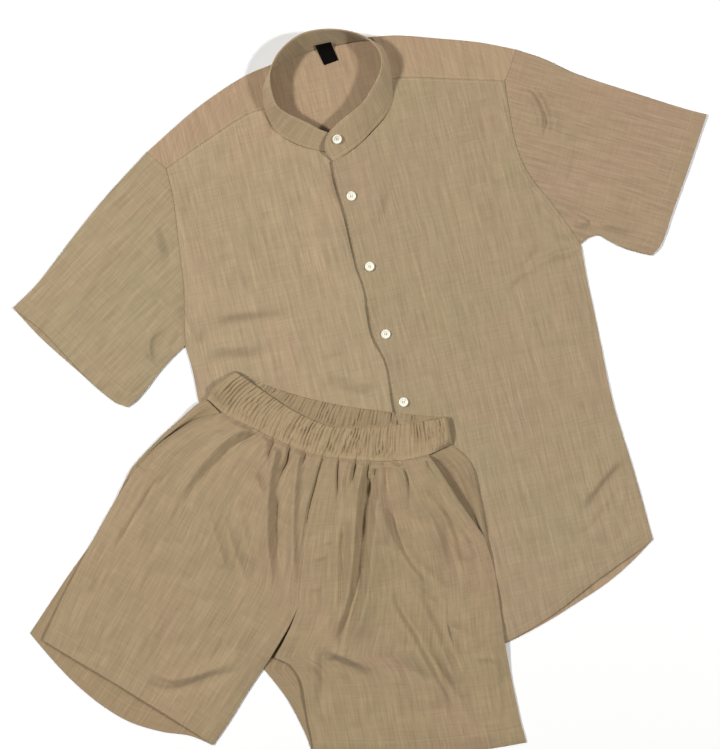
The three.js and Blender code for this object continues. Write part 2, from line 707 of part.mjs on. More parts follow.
function shortsUnder(u, v) {
  const puff = SHORTS_PUFF * (1 - Math.exp(-Math.max(0, inside(shortsOutline, u, v)) / PUFF_REACH));
  return shortsRest(u, v) + LAYER + puff + pocketRise(u, v) + foldHeight(shortsFolds, u, v);
}

// The pocket facings show between the slanted pocket edge and the side of the shorts.
const pocketSides = {
  left: {
    bottom: curve([[-257, -75], [-247, -78], [-236, -80]]),
    right: aside(curve([[-241, -72], [-219, -17], [-180, 18], [-147, 34]]), -POCKET_TUCK),
    top: curve([[-169, 48], [-155, 39], [-142, 31]]),
    left: curve([[-257, -75], [-249, -52], [-220, -9], [-195, 22], [-181, 39], [-169, 48]]),
  },
  right: {
    bottom: curve([[196, -82], [205, -80], [214, -84]]),
    right: curve([[214, -84], [208, -68], [188, -11], [172, 22], [146, 40]]),
    top: curve([[112, 18], [128, 28], [146, 40]]),
    left: aside(curve([[206, -84], [183, -47], [162, -25], [141, -1], [119, 22]]), POCKET_TUCK),
  },
};

const pocketRings = {
  left: outline([pocketSides.left.bottom, 2], [pocketSides.left.right, 8], [reversed(pocketSides.left.left), 8]),
  right: outline([pocketSides.right.bottom, 2], [pocketSides.right.right, 8], [reversed(pocketSides.right.left), 8]),
};

function buildPocket(name, colour, sides) {
  const plan = panelPlan(sides.bottom, sides.right, sides.top, sides.left);
  const low = (u, v) => shortsRest(u, v) + LAYER + POCKET_CLEAR;
  const high = (u, v) => low(u, v) + CLOTH;
  return flatPanel(name, colour, SHORTS_PLACE, plan, spread([1, 2]), spread([1, 10]), low, high);
}

function buildShortsFronts() {
  const leftSide = joined([seamLeft, 0.3], [sideFrontLeft, 0.58], [pocketEdgeLeft, 1]);
  const leftInner = joined([inseamLeft, 0.3], [centreLower, 0.5], [centreUpper, 1]);
  const left = panelPlan(hemFrontLegLeft, leftInner, panelTopLeft, leftSide);
  const rightSide = joined([sideFrontRight, 0.6], [pocketEdgeRight, 1]);
  const rightInner = joined([inseamFrontRight, 0.3], [centreLowerRight, 0.5], [centreUpper, 1]);
  const right = panelPlan(hemLegRight, rightSide, panelTopRight, rightInner);
  const low = shortsUnder;
  const high = (u, v) => low(u, v) + CLOTH;
  const columns = spread([1, 15]);
  const rows = spread([0.3, 6], [0.5, 4], [1, 9]);
  return [
    flatPanel('shorts_front_left', COLOURS.shortsLeft, SHORTS_PLACE, left, columns, rows, low, high),
    flatPanel('shorts_front_right', COLOURS.shortsRight, SHORTS_PLACE, right, columns, rows, low, high),
  ];
}

function buildShortsBacks() {
  const leftInner = joined([inseamLeft, 0.3], [centreLower, 0.5], [centreUpper, 1]);
  const left = panelPlan(hemBackLegLeft, leftInner, backTopLeft, outerLeft);
  const rightInner = joined([inseamRight, 0.3], [centreLower, 0.5], [centreUpper, 1]);
  const right = panelPlan(hemLegRight, outerRight, backTopRight, rightInner);
  const low = shortsRest;
  const high = (u, v) => low(u, v) + CLOTH;
  const columns = spread([1, 14]);
  const rows = spread([0.3, 5], [0.5, 4], [1, 9]);
  return [
    flatPanel('shorts_back_left', COLOURS.shortsBack, SHORTS_PLACE, left, columns, rows, low, high),
    flatPanel('shorts_back_right', COLOURS.shortsBack, SHORTS_PLACE, right, columns, rows, low, high),
  ];
}

// Gathers of the elastic waistband, uneven in width and height along its length.
function rib(s) {
  const turn = 2 * Math.PI * RIB_COUNT * (s + 0.004 * Math.sin(9 * s * Math.PI));
  const strength = 0.75 + 0.25 * Math.sin(37 * s + 1.3);
  return RIB_RISE * strength * (0.5 + 0.5 * Math.cos(turn));
}

function buildWaistband() {
  const frontPlan = panelPlan(bandFoot, bandEndRight, bandTopFront, bandEndLeft);
  const backPlan = panelPlan(bandFoot, bandEndRight, bandTopBack, bandEndLeft);
  const frontLow = (u, v) => shortsRest(u, v) + BACK_BAND_WALL + SEAM;
  const frontHigh = (u, v, s) => frontLow(u, v) + FRONT_BAND_WALL + rib(s);
  const backLow = shortsRest;
  const backHigh = (u, v) => backLow(u, v) + BACK_BAND_WALL;
  return [
    flatPanel('waistband_front', COLOURS.band, SHORTS_PLACE, frontPlan,
      spread([1, RIB_COUNT * 4]), spread([1, 1]), frontLow, frontHigh),
    flatPanel('waistband_back', COLOURS.band, SHORTS_PLACE, backPlan,
      spread([1, RIB_COUNT]), spread([1, 3]), backLow, backHigh),
  ];
}

const set = new THREE.Group();
set.name = 'shirt_and_shorts_set';
set.add(buildShirtBack());
set.add(buildFrontLeft());
set.add(buildFrontRight());
set.add(...buildSleeves());
set.add(buildCollar());
set.add(buildLabel());
set.add(...buildButtons());
set.add(...buildShortsBacks());
set.add(buildPocket('pocket_left', COLOURS.shortsLeft, pocketSides.left));
set.add(buildPocket('pocket_right', COLOURS.shortsRight, pocketSides.right));
set.add(...buildShortsFronts());
set.add(...buildWaistband());

export default set;
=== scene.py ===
import math
import bpy
import numpy as np
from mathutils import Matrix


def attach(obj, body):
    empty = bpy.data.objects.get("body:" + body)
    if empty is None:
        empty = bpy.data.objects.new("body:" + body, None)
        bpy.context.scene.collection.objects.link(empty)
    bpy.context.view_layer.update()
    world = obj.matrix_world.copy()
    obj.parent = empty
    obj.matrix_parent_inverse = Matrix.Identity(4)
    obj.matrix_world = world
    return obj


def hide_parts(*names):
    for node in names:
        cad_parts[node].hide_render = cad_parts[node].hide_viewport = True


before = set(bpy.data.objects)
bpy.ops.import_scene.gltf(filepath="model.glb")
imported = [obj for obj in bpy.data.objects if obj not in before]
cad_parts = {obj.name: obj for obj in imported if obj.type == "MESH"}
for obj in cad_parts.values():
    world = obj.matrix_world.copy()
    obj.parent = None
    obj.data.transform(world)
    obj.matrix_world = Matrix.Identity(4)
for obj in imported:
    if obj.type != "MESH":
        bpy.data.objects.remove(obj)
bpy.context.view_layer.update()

# Shirt back. The real piece is one panel of tan slub linen and cotton, hemmed below; it folds
# forward over both shoulders and is sewn to the fronts along the strip seams. It lies on the
# surface. This section also holds the drawing of curved panels and the cloth material.

# Sizes are in millimetres up to the stage. CLOTH is the cloth of the solids, CLOTH_WALL the thinner
# shell that is shown here.
CLOTH = 1.0
CLOTH_WALL = 0.7
SEAM = 0.3
LAYER = CLOTH + SEAM
SHIRT_PUFF = 2.5
PUFF_REACH = 18
SHIRT_FOLD_SCALE = 3.0
SHIRT_HEM = 9
STITCH_LENGTH = 2.8
SHIRT_PLACE = (-19.9, 319.5, 14)


def to_world(place, u, v):
    """From a garment's own millimetres to the frame's; a place is x, y and a turn in degrees."""
    angle = math.radians(place[2])
    x = place[0] + u * math.cos(angle) - v * math.sin(angle)
    y = place[1] + u * math.sin(angle) + v * math.cos(angle)
    return x, y


def to_garment(place, x, y):
    """From the frame's millimetres back to a garment's own."""
    angle = math.radians(place[2])
    dx = x - place[0]
    dy = y - place[1]
    return dx * math.cos(angle) + dy * math.sin(angle), dy * math.cos(angle) - dx * math.sin(angle)


def smooth(start, end, value):
    """Soft step from 0 at the start to 1 at the end."""
    f = np.clip((value - start) / (end - start), 0, 1)
    return f * f * (3 - 2 * f)


def line(points):
    """A smooth line through a few points, asked for by its fraction of length."""
    points = np.array(points, float)
    last = len(points) - 1
    steps = np.hypot(*np.diff(points[:, :2], axis=0).T)
    at = np.concatenate([[0.0], np.cumsum(steps)])
    before = np.maximum(np.arange(last + 1) - 1, 0)
    after = np.minimum(np.arange(last + 1) + 1, last)
    slopes = (points[after] - points[before]) / (at[after] - at[before])[:, None]

    def at_fraction(fraction):
        travel = np.clip(np.asarray(fraction, float), 0, 1) * at[-1]
        i = np.clip(np.searchsorted(at, travel, side="left") - 1, 0, last - 1)
        span = at[i + 1] - at[i]
        f = (travel - at[i]) / span
        near = (1 - f * f * (3 - 2 * f))[..., None]
        leave = (f * (1 - f) ** 2 * span)[..., None]
        arrive = (f * f * (1 - f) * span)[..., None]
        return near * points[i] + (1 - near) * points[i + 1] + leave * slopes[i] - arrive * slopes[i + 1]
    return at_fraction


def joined(*rows):
    """Several lines end to end; each row is a line and the fraction where it ends."""
    def at_fraction(fraction):
        fraction = np.asarray(fraction, float)
        found = rows[-1][0](np.ones_like(fraction))
        start = 0.0
        for part, end in rows:
            here = (fraction >= start) & (fraction <= end)
            found = np.where(here[..., None], part((fraction - start) / (end - start)), found)
            start = end
        return found
    return at_fraction


def reversed_line(part):
    return lambda fraction: part(1 - np.asarray(fraction, float))


def stretch_of(part, from_across, to_across):
    """The stretch of a line between two distances across the garment."""
    samples = np.linspace(0, 1, 2001)
    across = part(samples)[:, 0]
    start, end = np.interp([from_across, to_across], across, samples)
    return lambda fraction: part(start + (end - start) * np.asarray(fraction, float))


def aside(part, amount):
    """A line moved sideways by an amount, to the left of its own direction."""
    def at_fraction(fraction):
        fraction = np.asarray(fraction, float)
        along = part(np.minimum(1, fraction + 0.001)) - part(np.maximum(0, fraction - 0.001))
        along = along / np.hypot(along[..., 0], along[..., 1])[..., None]
        point = part(fraction)
        return np.stack([point[..., 0] - amount * along[..., 1], point[..., 1] + amount * along[..., 0]], -1)
    return at_fraction


def panel_plan(bottom, right, top, left):
    """A flat panel filled in between four sides, each drawn in by half a seam."""
    bottom = aside(bottom, SEAM / 2)
    right = aside(right, SEAM / 2)
    top = aside(top, -SEAM / 2)
    left = aside(left, -SEAM / 2)
    low_left = (bottom(0.0) + left(0.0)) / 2
    low_right = (bottom(1.0) + right(0.0)) / 2
    top_left = (top(0.0) + left(1.0)) / 2
    top_right = (top(1.0) + right(1.0)) / 2

    def at_place(s, w):
        s = np.asarray(s, float)[..., None]
        w = np.asarray(w, float)[..., None]
        across = bottom(s[..., 0]) * (1 - w) + top(s[..., 0]) * w
        along = left(w[..., 0]) * (1 - s) + right(w[..., 0]) * s
        low = low_left * (1 - s) + low_right * s
        high = top_left * (1 - s) + top_right * s
        return across + along - low * (1 - w) - high * w
    return at_place


def outline(*rows):
    """Corners of a closed outline from lines in order, each with its number of points."""
    return np.concatenate([part(np.arange(count) / count) for part, count in rows])


def inside(ring, u, v):
    """Distance from points to a closed outline, positive inside it."""
    nearest = np.full(np.shape(u), 1e9)
    within = np.zeros(np.shape(u), bool)
    for p, q in zip(ring, np.roll(ring, -1, axis=0)):
        du, dv = q - p
        f = np.clip(((u - p[0]) * du + (v - p[1]) * dv) / (du * du + dv * dv), 0, 1)
        nearest = np.minimum(nearest, np.hypot(u - p[0] - f * du, v - p[1] - f * dv))
        if p[1] != q[1]:
            crosses = ((p[1] > v) != (q[1] > v)) & (u < p[0] + (v - p[1]) * du / dv)
            within ^= crosses
    return np.where(within, nearest, -nearest)


def nearest_on(points, u, v):
    """Distance to the nearest point on a chain of points, the side of it (positive to the left), and
    its place along the chain, counted in pieces."""
    nearest = np.full(np.shape(u), 1e9)
    side = np.zeros(np.shape(u))
    place = np.zeros(np.shape(u))
    for i, (p, q) in enumerate(zip(points[:-1], points[1:])):
        du, dv = q - p
        f = np.clip(((u - p[0]) * du + (v - p[1]) * dv) / (du * du + dv * dv), 0, 1)
        distance = np.hypot(u - p[0] - f * du, v - p[1] - f * dv)
        closer = distance < nearest
        nearest = np.where(closer, distance, nearest)
        side = np.where(closer, du * (v - p[1]) - dv * (u - p[0]), side)
        place = np.where(closer, i + f, place)
    return nearest, side, place


def beside(rows, u, v):
    """Signed distance to the nearest of several open lines, and the distance along it."""
    nearest = np.full(np.shape(u), 1e9)
    signed = np.full(np.shape(u), 1e3)
    along = np.zeros(np.shape(u))
    for part, count in rows:
        points = part(np.linspace(0, 1, count + 1))
        lengths = np.hypot(*np.diff(points, axis=0).T)
        travelled = np.concatenate([[0.0], np.cumsum(lengths)])
        distance, side, place = nearest_on(points, u, v)
        closer = distance < nearest
        nearest = np.where(closer, distance, nearest)
        signed = np.where(closer, distance * np.sign(side), signed)
        along = np.where(closer, np.interp(place, np.arange(count + 1), travelled), along)
    return signed, along


def distance_to(rows, u, v):
    """Plain distance to the nearest of several open lines."""
    signed, along = beside(rows, u, v)
    return np.abs(signed)


def fold_height(folds, u, v):
    """Height of folds at a point: each has its own slope to the left and right of its line,
    and fades in and out over the given fractions of its length."""
    height = np.zeros(np.shape(u))
    for path, left, right, rise, start, finish in folds:
        points = line(path)(np.linspace(0, 1, 4 * len(path)))
        nearest, side, place = nearest_on(points, u, v)
        along = place / (len(points) - 1)
        half = np.where(side > 0, left, right)
        fade = smooth(0, start, along) * smooth(1, 1 - finish, along)
        crest = 0.55 * np.exp(-((nearest / half) ** 2)) + 0.45 * np.exp(-nearest / (0.6 * half))
        height += rise * fade * crest
    return height


def ripple(u, v, size, seed):
    """Even random swelling from -1 to 1 with bumps of the given size."""
    count = 64
    lattice = np.random.default_rng(seed).uniform(-1, 1, (count, count))
    a = u / size
    b = v / size
    i = np.floor(a).astype(int)
    j = np.floor(b).astype(int)
    fa = smooth(0, 1, a - i)
    fb = smooth(0, 1, b - j)
    low = lattice[i % count, j % count] * (1 - fa) + lattice[(i + 1) % count, j % count] * fa
    high = lattice[i % count, (j + 1) % count] * (1 - fa) + lattice[(i + 1) % count, (j + 1) % count] * fa
    return low * (1 - fb) + high * fb


def steps(length, pitch):
    """Fractions along a length, closer together near both ends."""
    near = np.array([0.5, 1.1, 1.8, 2.7])
    count = max(2, int((length - 6) / pitch))
    middle = np.linspace(3.8, length - 3.8, count)
    return np.concatenate([[0], near, middle, length - near[::-1], [length]]) / length


def joined_steps(*rows):
    """Fractions over stretches end to end; each row is a share of the whole, a length and a pitch."""
    found = [[0.0]]
    start = 0.0
    for share, length, pitch in rows:
        found.append(start + share * steps(length, pitch)[1:])
        start += share
    return np.concatenate(found)


def grid_cells(across, along):
    """Four-cornered cells of a grid of points laid out row by row."""
    a = (np.arange(along - 1)[:, None] * across + np.arange(across - 1)[None, :]).ravel()
    return np.stack([a, a + 1, a + 1 + across, a + across], -1)


def cloth_piece(name, node, points, weave, sewing, cells, wall, material):
    """A thin cloth piece from its middle surface in millimetres, with its weave and sewing maps."""
    mesh = bpy.data.meshes.new(name)
    mesh.from_pydata((np.asarray(points) / 1000).tolist(), [], np.asarray(cells).tolist())
    corners = np.empty(len(mesh.loops), dtype=np.int32)
    mesh.loops.foreach_get("vertex_index", corners)
    for title, flat in (("weave", weave), ("sewing", sewing)):
        layer = mesh.uv_layers.new(name=title)
        layer.data.foreach_set("uv", np.asarray(flat, float)[corners].ravel())
    mesh.polygons.foreach_set("use_smooth", [True] * len(mesh.polygons))
    mesh.materials.append(material)
    piece = bpy.data.objects.new(name, mesh)
    bpy.context.scene.collection.objects.link(piece)
    shell = piece.modifiers.new("wall", "SOLIDIFY")
    shell.thickness = wall / 1000
    shell.offset = 0
    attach(piece, "root")
    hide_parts(node)
    return piece


class Value:
    """One output of a material's nodes, so that shader sums read as sums."""

    def __init__(self, tree, output):
        self.tree = tree
        self.output = output

    def node(self, kind, settings, inputs, result=0):
        """Adds a node of the given kind and hands back one of its outputs."""
        made = self.tree.nodes.new(kind)
        for name, value in settings.items():
            setattr(made, name, value)
        for name, value in inputs.items():
            if isinstance(value, Value):
                self.tree.links.new(value.output, made.inputs[name])
            else:
                made.inputs[name].default_value = value
        return Value(self.tree, made.outputs[result])

    def sum(self, operation, first, second):
        return self.node("ShaderNodeMath", {"operation": operation}, {0: first, 1: second})

    def __add__(self, other):
        return self.sum("ADD", self, other)

    __radd__ = __add__

    def __sub__(self, other):
        return self.sum("SUBTRACT", self, other)

    def __rsub__(self, other):
        return self.sum("SUBTRACT", other, self)

    def __mul__(self, other):
        return self.sum("MULTIPLY", self, other)

    __rmul__ = __mul__

    def step(self, start, end):
        """Soft step of this value from 0 at the start to 1 at the end."""
        inputs = {"Value": self, "From Min": start, "From Max": end}
        return self.node("ShaderNodeMapRange", {"interpolation_type": "SMOOTHSTEP"}, inputs)

    def noise(self, across, along, detail):
        """Noise stretched by scales across and along this vector."""
        inputs = {0: self, 1: (across, along, 1.0)}
        scaled = self.node("ShaderNodeVectorMath", {"operation": "MULTIPLY"}, inputs)
        return scaled.node("ShaderNodeTexNoise", {}, {"Vector": scaled, "Scale": 1.0, "Detail": detail})


def from_srgb(red, green, blue):
    """A colour given as it appears, from 0 to 255, as the shader's own light values."""
    parts = [value / 255 for value in (red, green, blue)]
    parts = [value / 12.92 if value <= 0.04045 else ((value + 0.055) / 1.055) ** 2.4 for value in parts]
    return (*parts, 1.0)


def slub_cloth(name, colour, warm, stitch):
    """Slub linen and cotton: light and dark yarns along the weave, soft patches and sewn lines. The
    colours are given as they appear."""
    material = bpy.data.materials.new(name)
    material.use_nodes = True
    tree = material.node_tree
    surface = tree.nodes["Principled BSDF"]
    start = Value(tree, None)
    weave = start.node("ShaderNodeUVMap", {"uv_map": "weave"}, {})
    sewing = start.node("ShaderNodeUVMap", {"uv_map": "sewing"}, {})
    warp = weave.noise(440.0, 26.0, 2.0)
    wide_warp = weave.noise(170.0, 5.0, 2.0)
    weft = weave.noise(30.0, 420.0, 2.0)
    grain = weave.noise(1500.0, 1500.0, 1.0)
    patches = weave.noise(9.0, 7.0, 2.0)
    slubs = weave.noise(390.0, 36.0, 1.0).step(0.62, 0.76)
    tone = 0.27 + 0.42 * warp + 0.26 * wide_warp + 0.20 * weft + 0.20 * grain + 0.10 * slubs
    across = sewing.node("ShaderNodeSeparateXYZ", {}, {0: sewing}, 0)
    along = sewing.node("ShaderNodeSeparateXYZ", {}, {0: sewing}, 1)
    apart = across.node("ShaderNodeMath", {"operation": "ABSOLUTE"}, {0: across})
    dash = along.node("ShaderNodeMath", {"operation": "FRACT"}, {0: along * (1 / STITCH_LENGTH)})
    thread = (1 - apart.step(0.25, 0.5)) * (1 - dash.step(0.74, 0.84))
    groove = 1 - apart.step(0.5, 1.9)
    drift = 0.8 * patches.step(0.36, 0.68)
    mixed = start.node("ShaderNodeMix", {"data_type": "RGBA"},
                       {0: drift, 6: from_srgb(*colour), 7: from_srgb(*warm)}, 2)
    toned = start.node("ShaderNodeCombineXYZ", {}, {0: tone, 1: tone, 2: tone})
    cloth = start.node("ShaderNodeMix", {"data_type": "RGBA", "blend_type": "MULTIPLY"},
                       {0: 1.0, 6: mixed, 7: toned}, 2)
    sewn = start.node("ShaderNodeMix", {"data_type": "RGBA"},
                      {0: thread * 0.55, 6: cloth, 7: from_srgb(*stitch)}, 2)
    height = 0.30 * warp + 0.22 * weft + 0.2 * grain + 0.3 * slubs + 0.9 * thread - 1.1 * groove
    relief = start.node("ShaderNodeBump", {}, {"Height": height, "Strength": 0.55, "Distance": 0.0003})
    tree.links.new(sewn.output, surface.inputs["Base Color"])
    tree.links.new(relief.output, surface.inputs["Normal"])
    surface.inputs["Roughness"].default_value = 0.9
    surface.inputs["Specular IOR Level"].default_value = 0.25
    surface.inputs["Sheen Weight"].default_value = 0.12
    surface.inputs["Sheen Roughness"].default_value = 0.5
    return material


# Seam and edge lines of the shirt in its own millimetres, the collar toward greater v.
hem_back = line([[-258, -584], [-238, -595], [-169, -628], [-79, -659], [0, -672],
                 [79, -659], [168, -631], [200, -618], [230, -602], [258, -584]])
hem_front_right = line([[-20, -667], [45, -665], [111, -646], [171, -619], [247, -589], [258, -584]])
hem_front_left = line([[-258, -584], [-247, -589], [-171, -619], [-111, -646], [-45, -665], [3, -668]])
side_right = line([[258, -584], [256, -500], [251, -400], [255, -300], [257, -240], [260, -198]])
side_left = line([[-258, -584], [-259, -400], [-259, -271], [-257, -240], [-258, -202]])
armhole_right = line([[260, -198], [245, -160], [234, -133], [218, -99], [210, -58], [212, -17], [216, 26]])
armhole_left = line([[-258, -202], [-251, -168], [-242, -131], [-234, -70], [-228, -20], [-227, 22]])
strip_end_right = line([[216, 26], [225, 38], [240, 62]])
strip_end_left = line([[-227, 22], [-236, 34], [-246, 49]])
strip_seam_right = line([[76, 63], [90, 62], [150, 45], [216, 26]])
strip_seam_left = line([[-227, 22], [-153, 50], [-110, 64], [-85, 65]])
fold_right = line([[64, 122], [97, 116], [146, 100], [197, 82], [240, 62]])
fold_left = line([[-246, 49], [-170, 88], [-104, 112], [-62, 119]])
neck_back = line([[-62, 119], [-40, 122], [-12, 126], [21, 125], [45, 124], [64, 122]])
neck_side_right = line([[76, 63], [78, 86], [74, 106], [64, 122]])
neck_side_left = line([[-85, 65], [-84, 84], [-76, 103], [-62, 119]])
sleeve_fold_right = line([[240, 62], [271, 42], [306, 14], [374, -29], [426, -61], [455, -77]])
sleeve_fold_left = line([[-459, -102], [-422, -80], [-359, -30], [-311, 6], [-246, 49]])
sleeve_hem_right = line([[344, -234], [356, -226], [367, -212], [384, -185], [411, -145], [455, -77]])
sleeve_hem_left = line([[-348, -260], [-362, -249], [-390, -210], [-429, -141], [-459, -102]])
underarm_right = line([[260, -198], [272, -193], [285, -193], [296, -203], [313, -217], [330, -227],
                       [344, -234]])
underarm_left = line([[-348, -260], [-332, -253], [-293, -223], [-268, -207], [-258, -202]])
shirt_outline = outline(
    (hem_back, 18), (side_right, 8), (underarm_right, 8), (sleeve_hem_right, 8),
    (reversed_line(sleeve_fold_right), 8), (reversed_line(fold_right), 8), (reversed_line(neck_back), 6),
    (reversed_line(fold_left), 8), (reversed_line(sleeve_fold_left), 8), (reversed_line(sleeve_hem_left), 8),
    (underarm_left, 8), (reversed_line(side_left), 8))

# Folds of the shirt. Each row: line, slope width left and right of it, height, and the fractions
# of its length over which it fades in and out. A negative height is a trough.
shirt_folds = [
    ([[-228, -186], [-190, -191], [-153, -196], [-104, -200]], 8, 8, -2.0, 0.3, 0.5),
    ([[-226, -172], [-160, -181], [-108, -186]], 12, 7, 1.5, 0.3, 0.5),
    ([[-244, -226], [-200, -234], [-150, -244]], 8, 8, -2.3, 0.3, 0.5),
    ([[-236, -210], [-196, -218], [-140, -228]], 13, 7, 1.7, 0.3, 0.5),
    ([[-240, -250], [-180, -262], [-110, -270]], 14, 12, 1.5, 0.3, 0.5),
    ([[-108, -288], [-77, -308], [-34, -330]], 7, 7, -2.2, 0.4, 0.3),
    ([[-92, -276], [-62, -294], [-28, -312]], 10, 8, 1.2, 0.4, 0.3),
    ([[-134, -71], [-115, -70], [-98, -81]], 7, 7, -1.5, 0.4, 0.4),
    ([[-118, -96], [-85, -104], [-40, -114]], 6, 7, -1.3, 0.3, 0.4),
    ([[-118, -110], [-90, -118], [-58, -122]], 6, 6, -1.2, 0.3, 0.4),
    ([[-196, -104], [-180, -110], [-160, -108]], 7, 7, -1.1, 0.4, 0.4),
    ([[-202, -7], [-209, -30], [-218, -54]], 5, 7, -1.2, 0.4, 0.4),
    ([[-79, 63], [-83, 43], [-90, 20]], 5, 6, -1.2, 0.2, 0.5),
    ([[-44, 2], [-34, -30], [-30, -72]], 5, 7, 1.3, 0.3, 0.4),
    ([[-62, -2], [-48, -34], [-38, -66]], 5, 6, -0.9, 0.3, 0.4),
    ([[-38, -73], [-31, -120], [-30, -179]], 5, 6, 1.2, 0.3, 0.4),
    ([[56, -52], [35, -91], [12, -124]], 7, 9, -1.5, 0.4, 0.4),
    ([[97, -113], [76, -225], [70, -328]], 18, 18, 1.2, 0.3, 0.3),
    ([[252, -477], [210, -510], [172, -536]], 7, 6, -2.4, 0.25, 0.5),
    ([[244, -468], [200, -502], [164, -526]], 5, 11, 1.6, 0.3, 0.5),
    ([[242, -505], [197, -543], [160, -563]], 6, 5, -1.7, 0.3, 0.5),
    ([[243, -510], [238, -532], [234, -552], [240, -574]], 4, 5, -1.8, 0.3, 0.4),
    ([[236, -503], [245, -518], [256, -540]], 3, 4, -1.4, 0.4, 0.4),
    ([[228, -560], [216, -572], [200, -584]], 5, 5, -1.0, 0.4, 0.4),
    ([[164, -95], [185, -90], [207, -81]], 8, 8, 1.2, 0.4, 0.4),
    ([[175, -212], [192, -204], [216, -188]], 6, 6, -1.4, 0.4, 0.4),
    ([[150, -245], [172, -226], [190, -218]], 7, 7, -1.0, 0.4, 0.4),
    ([[149, -5], [175, -1], [200, -5]], 6, 6, -1.0, 0.4, 0.4),
    ([[162, 70], [186, 60], [205, 49]], 5, 5, 1.0, 0.4, 0.4),
    ([[222, -132], [228, -150], [244, -168]], 4, 6, -1.5, 0.4, 0.4),
    ([[232, -176], [240, -190], [256, -200]], 4, 5, -1.5, 0.4, 0.3),
    ([[218, -196], [232, -204], [254, -206]], 5, 6, 1.3, 0.4, 0.3),
    ([[230, 20], [243, 0], [248, -24], [245, -48], [233, -68]], 6, 4, 1.5, 0.3, 0.4),
    ([[238, 18], [251, 0], [256, -23], [253, -46], [241, -66]], 4, 4, -2.2, 0.3, 0.4),
    ([[246, 20], [260, 0], [266, -24], [263, -50], [250, -74]], 5, 9, 1.2, 0.3, 0.4),
    ([[150, -226], [185, -214], [220, -204], [248, -200]], 4, 6, 1.1, 0.3, 0.3),
    ([[212, -152], [228, -170], [246, -190]], 3, 4, 1.0, 0.3, 0.3),
    ([[240, -146], [262, -160], [284, -180]], 3, 4, 1.2, 0.3, 0.3),
    ([[330, -15], [372, -60], [390, -120]], 14, 14, 1.2, 0.3, 0.3),
    ([[293, -77], [277, -99], [259, -127]], 6, 8, -1.6, 0.4, 0.4),
    ([[250, -150], [266, -158], [284, -184]], 4, 5, -1.8, 0.3, 0.3),
    ([[256, -176], [268, -171], [281, -174]], 5, 5, 1.8, 0.3, 0.3),
    ([[286, -176], [309, -188], [334, -200]], 5, 4, 1.9, 0.3, 0.4),
    ([[262, 29], [330, -20], [400, -62]], 5, 5, -0.8, 0.3, 0.4),
    ([[300, -60], [350, -92], [396, -118]], 3, 3, -0.6, 0.4, 0.4),
    ([[290, -96], [336, -126], [380, -152]], 3, 3, -0.6, 0.4, 0.4),
    ([[316, -28], [366, -62], [414, -92]], 3, 3, -0.5, 0.4, 0.4),
    ([[-254, -40], [-248, -70], [-250, -102]], 6, 6, -1.8, 0.4, 0.4),
    ([[-262, -30], [-262, -70], [-264, -110]], 7, 9, 1.3, 0.4, 0.4),
    ([[-282, -120], [-276, -138], [-266, -160]], 6, 7, -1.6, 0.4, 0.4),
    ([[-273, -174], [-295, -179], [-304, -196], [-301, -218]], 4, 5, 1.7, 0.3, 0.3),
    ([[-262, -184], [-268, -196], [-280, -202]], 3, 4, -1.8, 0.3, 0.3),
    ([[-252, -150], [-248, -176], [-250, -198]], 3, 5, -1.8, 0.4, 0.2),
    ([[-240, -160], [-236, -182], [-238, -204]], 5, 6, 1.8, 0.4, 0.3),
    ([[-300, -30], [-350, -90], [-400, -130]], 16, 16, 1.1, 0.3, 0.3),
    ([[-352, -232], [-360, -240], [-368, -244]], 3, 3, 1.2, 0.3, 0.3),
    ([[-330, -150], [-356, -176], [-372, -196]], 7, 7, -0.9, 0.4, 0.4),
]


def above_layer(height, lowest):
    """Softly keeps a height from going below the layer beneath."""
    return np.logaddexp(3 * (height - lowest), 0) / 3 + lowest


def edge_drop(edge, drop=0.8):
    """How far cloth is rounded down beside its own edge."""
    return drop * np.exp(-edge / 1.6)


def shirt_height(u, v):
    """Middle of the shirt's upper layer, above the surface it lies on."""
    edge = np.maximum(inside(shirt_outline, u, v), 0)
    height = SHIRT_PUFF * (1 - np.exp(-edge / PUFF_REACH))
    height += SHIRT_FOLD_SCALE * fold_height(shirt_folds, u, v) * smooth(0, 12, edge)
    height += (1.0 * ripple(u, v, 52, 3) + 0.5 * ripple(u, v, 23, 4)) * smooth(0, 30, edge)
    wrinkles = 1.8 * np.abs(ripple(u, 1.5 * v, 38, 41)) + 0.9 * np.abs(ripple(1.3 * u, v, 17, 42))
    height += wrinkles * smooth(0, 20, edge)
    height += 0.4 * ripple(u, v, 9, 5) * np.exp(-edge / 9)
    height = above_layer(height, 0.1 - 0.6 * np.exp(-edge / 2)) - edge_drop(edge)
    return LAYER + CLOTH / 2 + height


def sunk(distance):
    """How far cloth is drawn down beside a seam."""
    return np.exp(-distance / 1.5)


def along_grain(u, v, degrees):
    """Weave map in metres, with the grain turned from straight up the garment."""
    angle = math.radians(degrees)
    across = u * math.cos(angle) + v * math.sin(angle)
    along = v * math.cos(angle) - u * math.sin(angle)
    return np.stack([across, along], -1) / 1000


def folded_edge(edge, inner, count=7):
    """Middle line of cloth folded over at an edge, from the lower layer to the upper one."""
    radius = (LAYER + CLOTH) / 2
    reach = np.hypot(*(edge - inner).T)[:, None]
    centre = edge + (inner - edge) * radius / reach
    rounds = []
    for angle in np.linspace(-math.pi / 2, math.pi / 2, count):
        size = radius - CLOTH / 2
        point = centre + (edge - centre) * size / radius * math.cos(angle)
        rounds.append((point, np.full(len(edge), radius + size * math.sin(angle))))
    return rounds


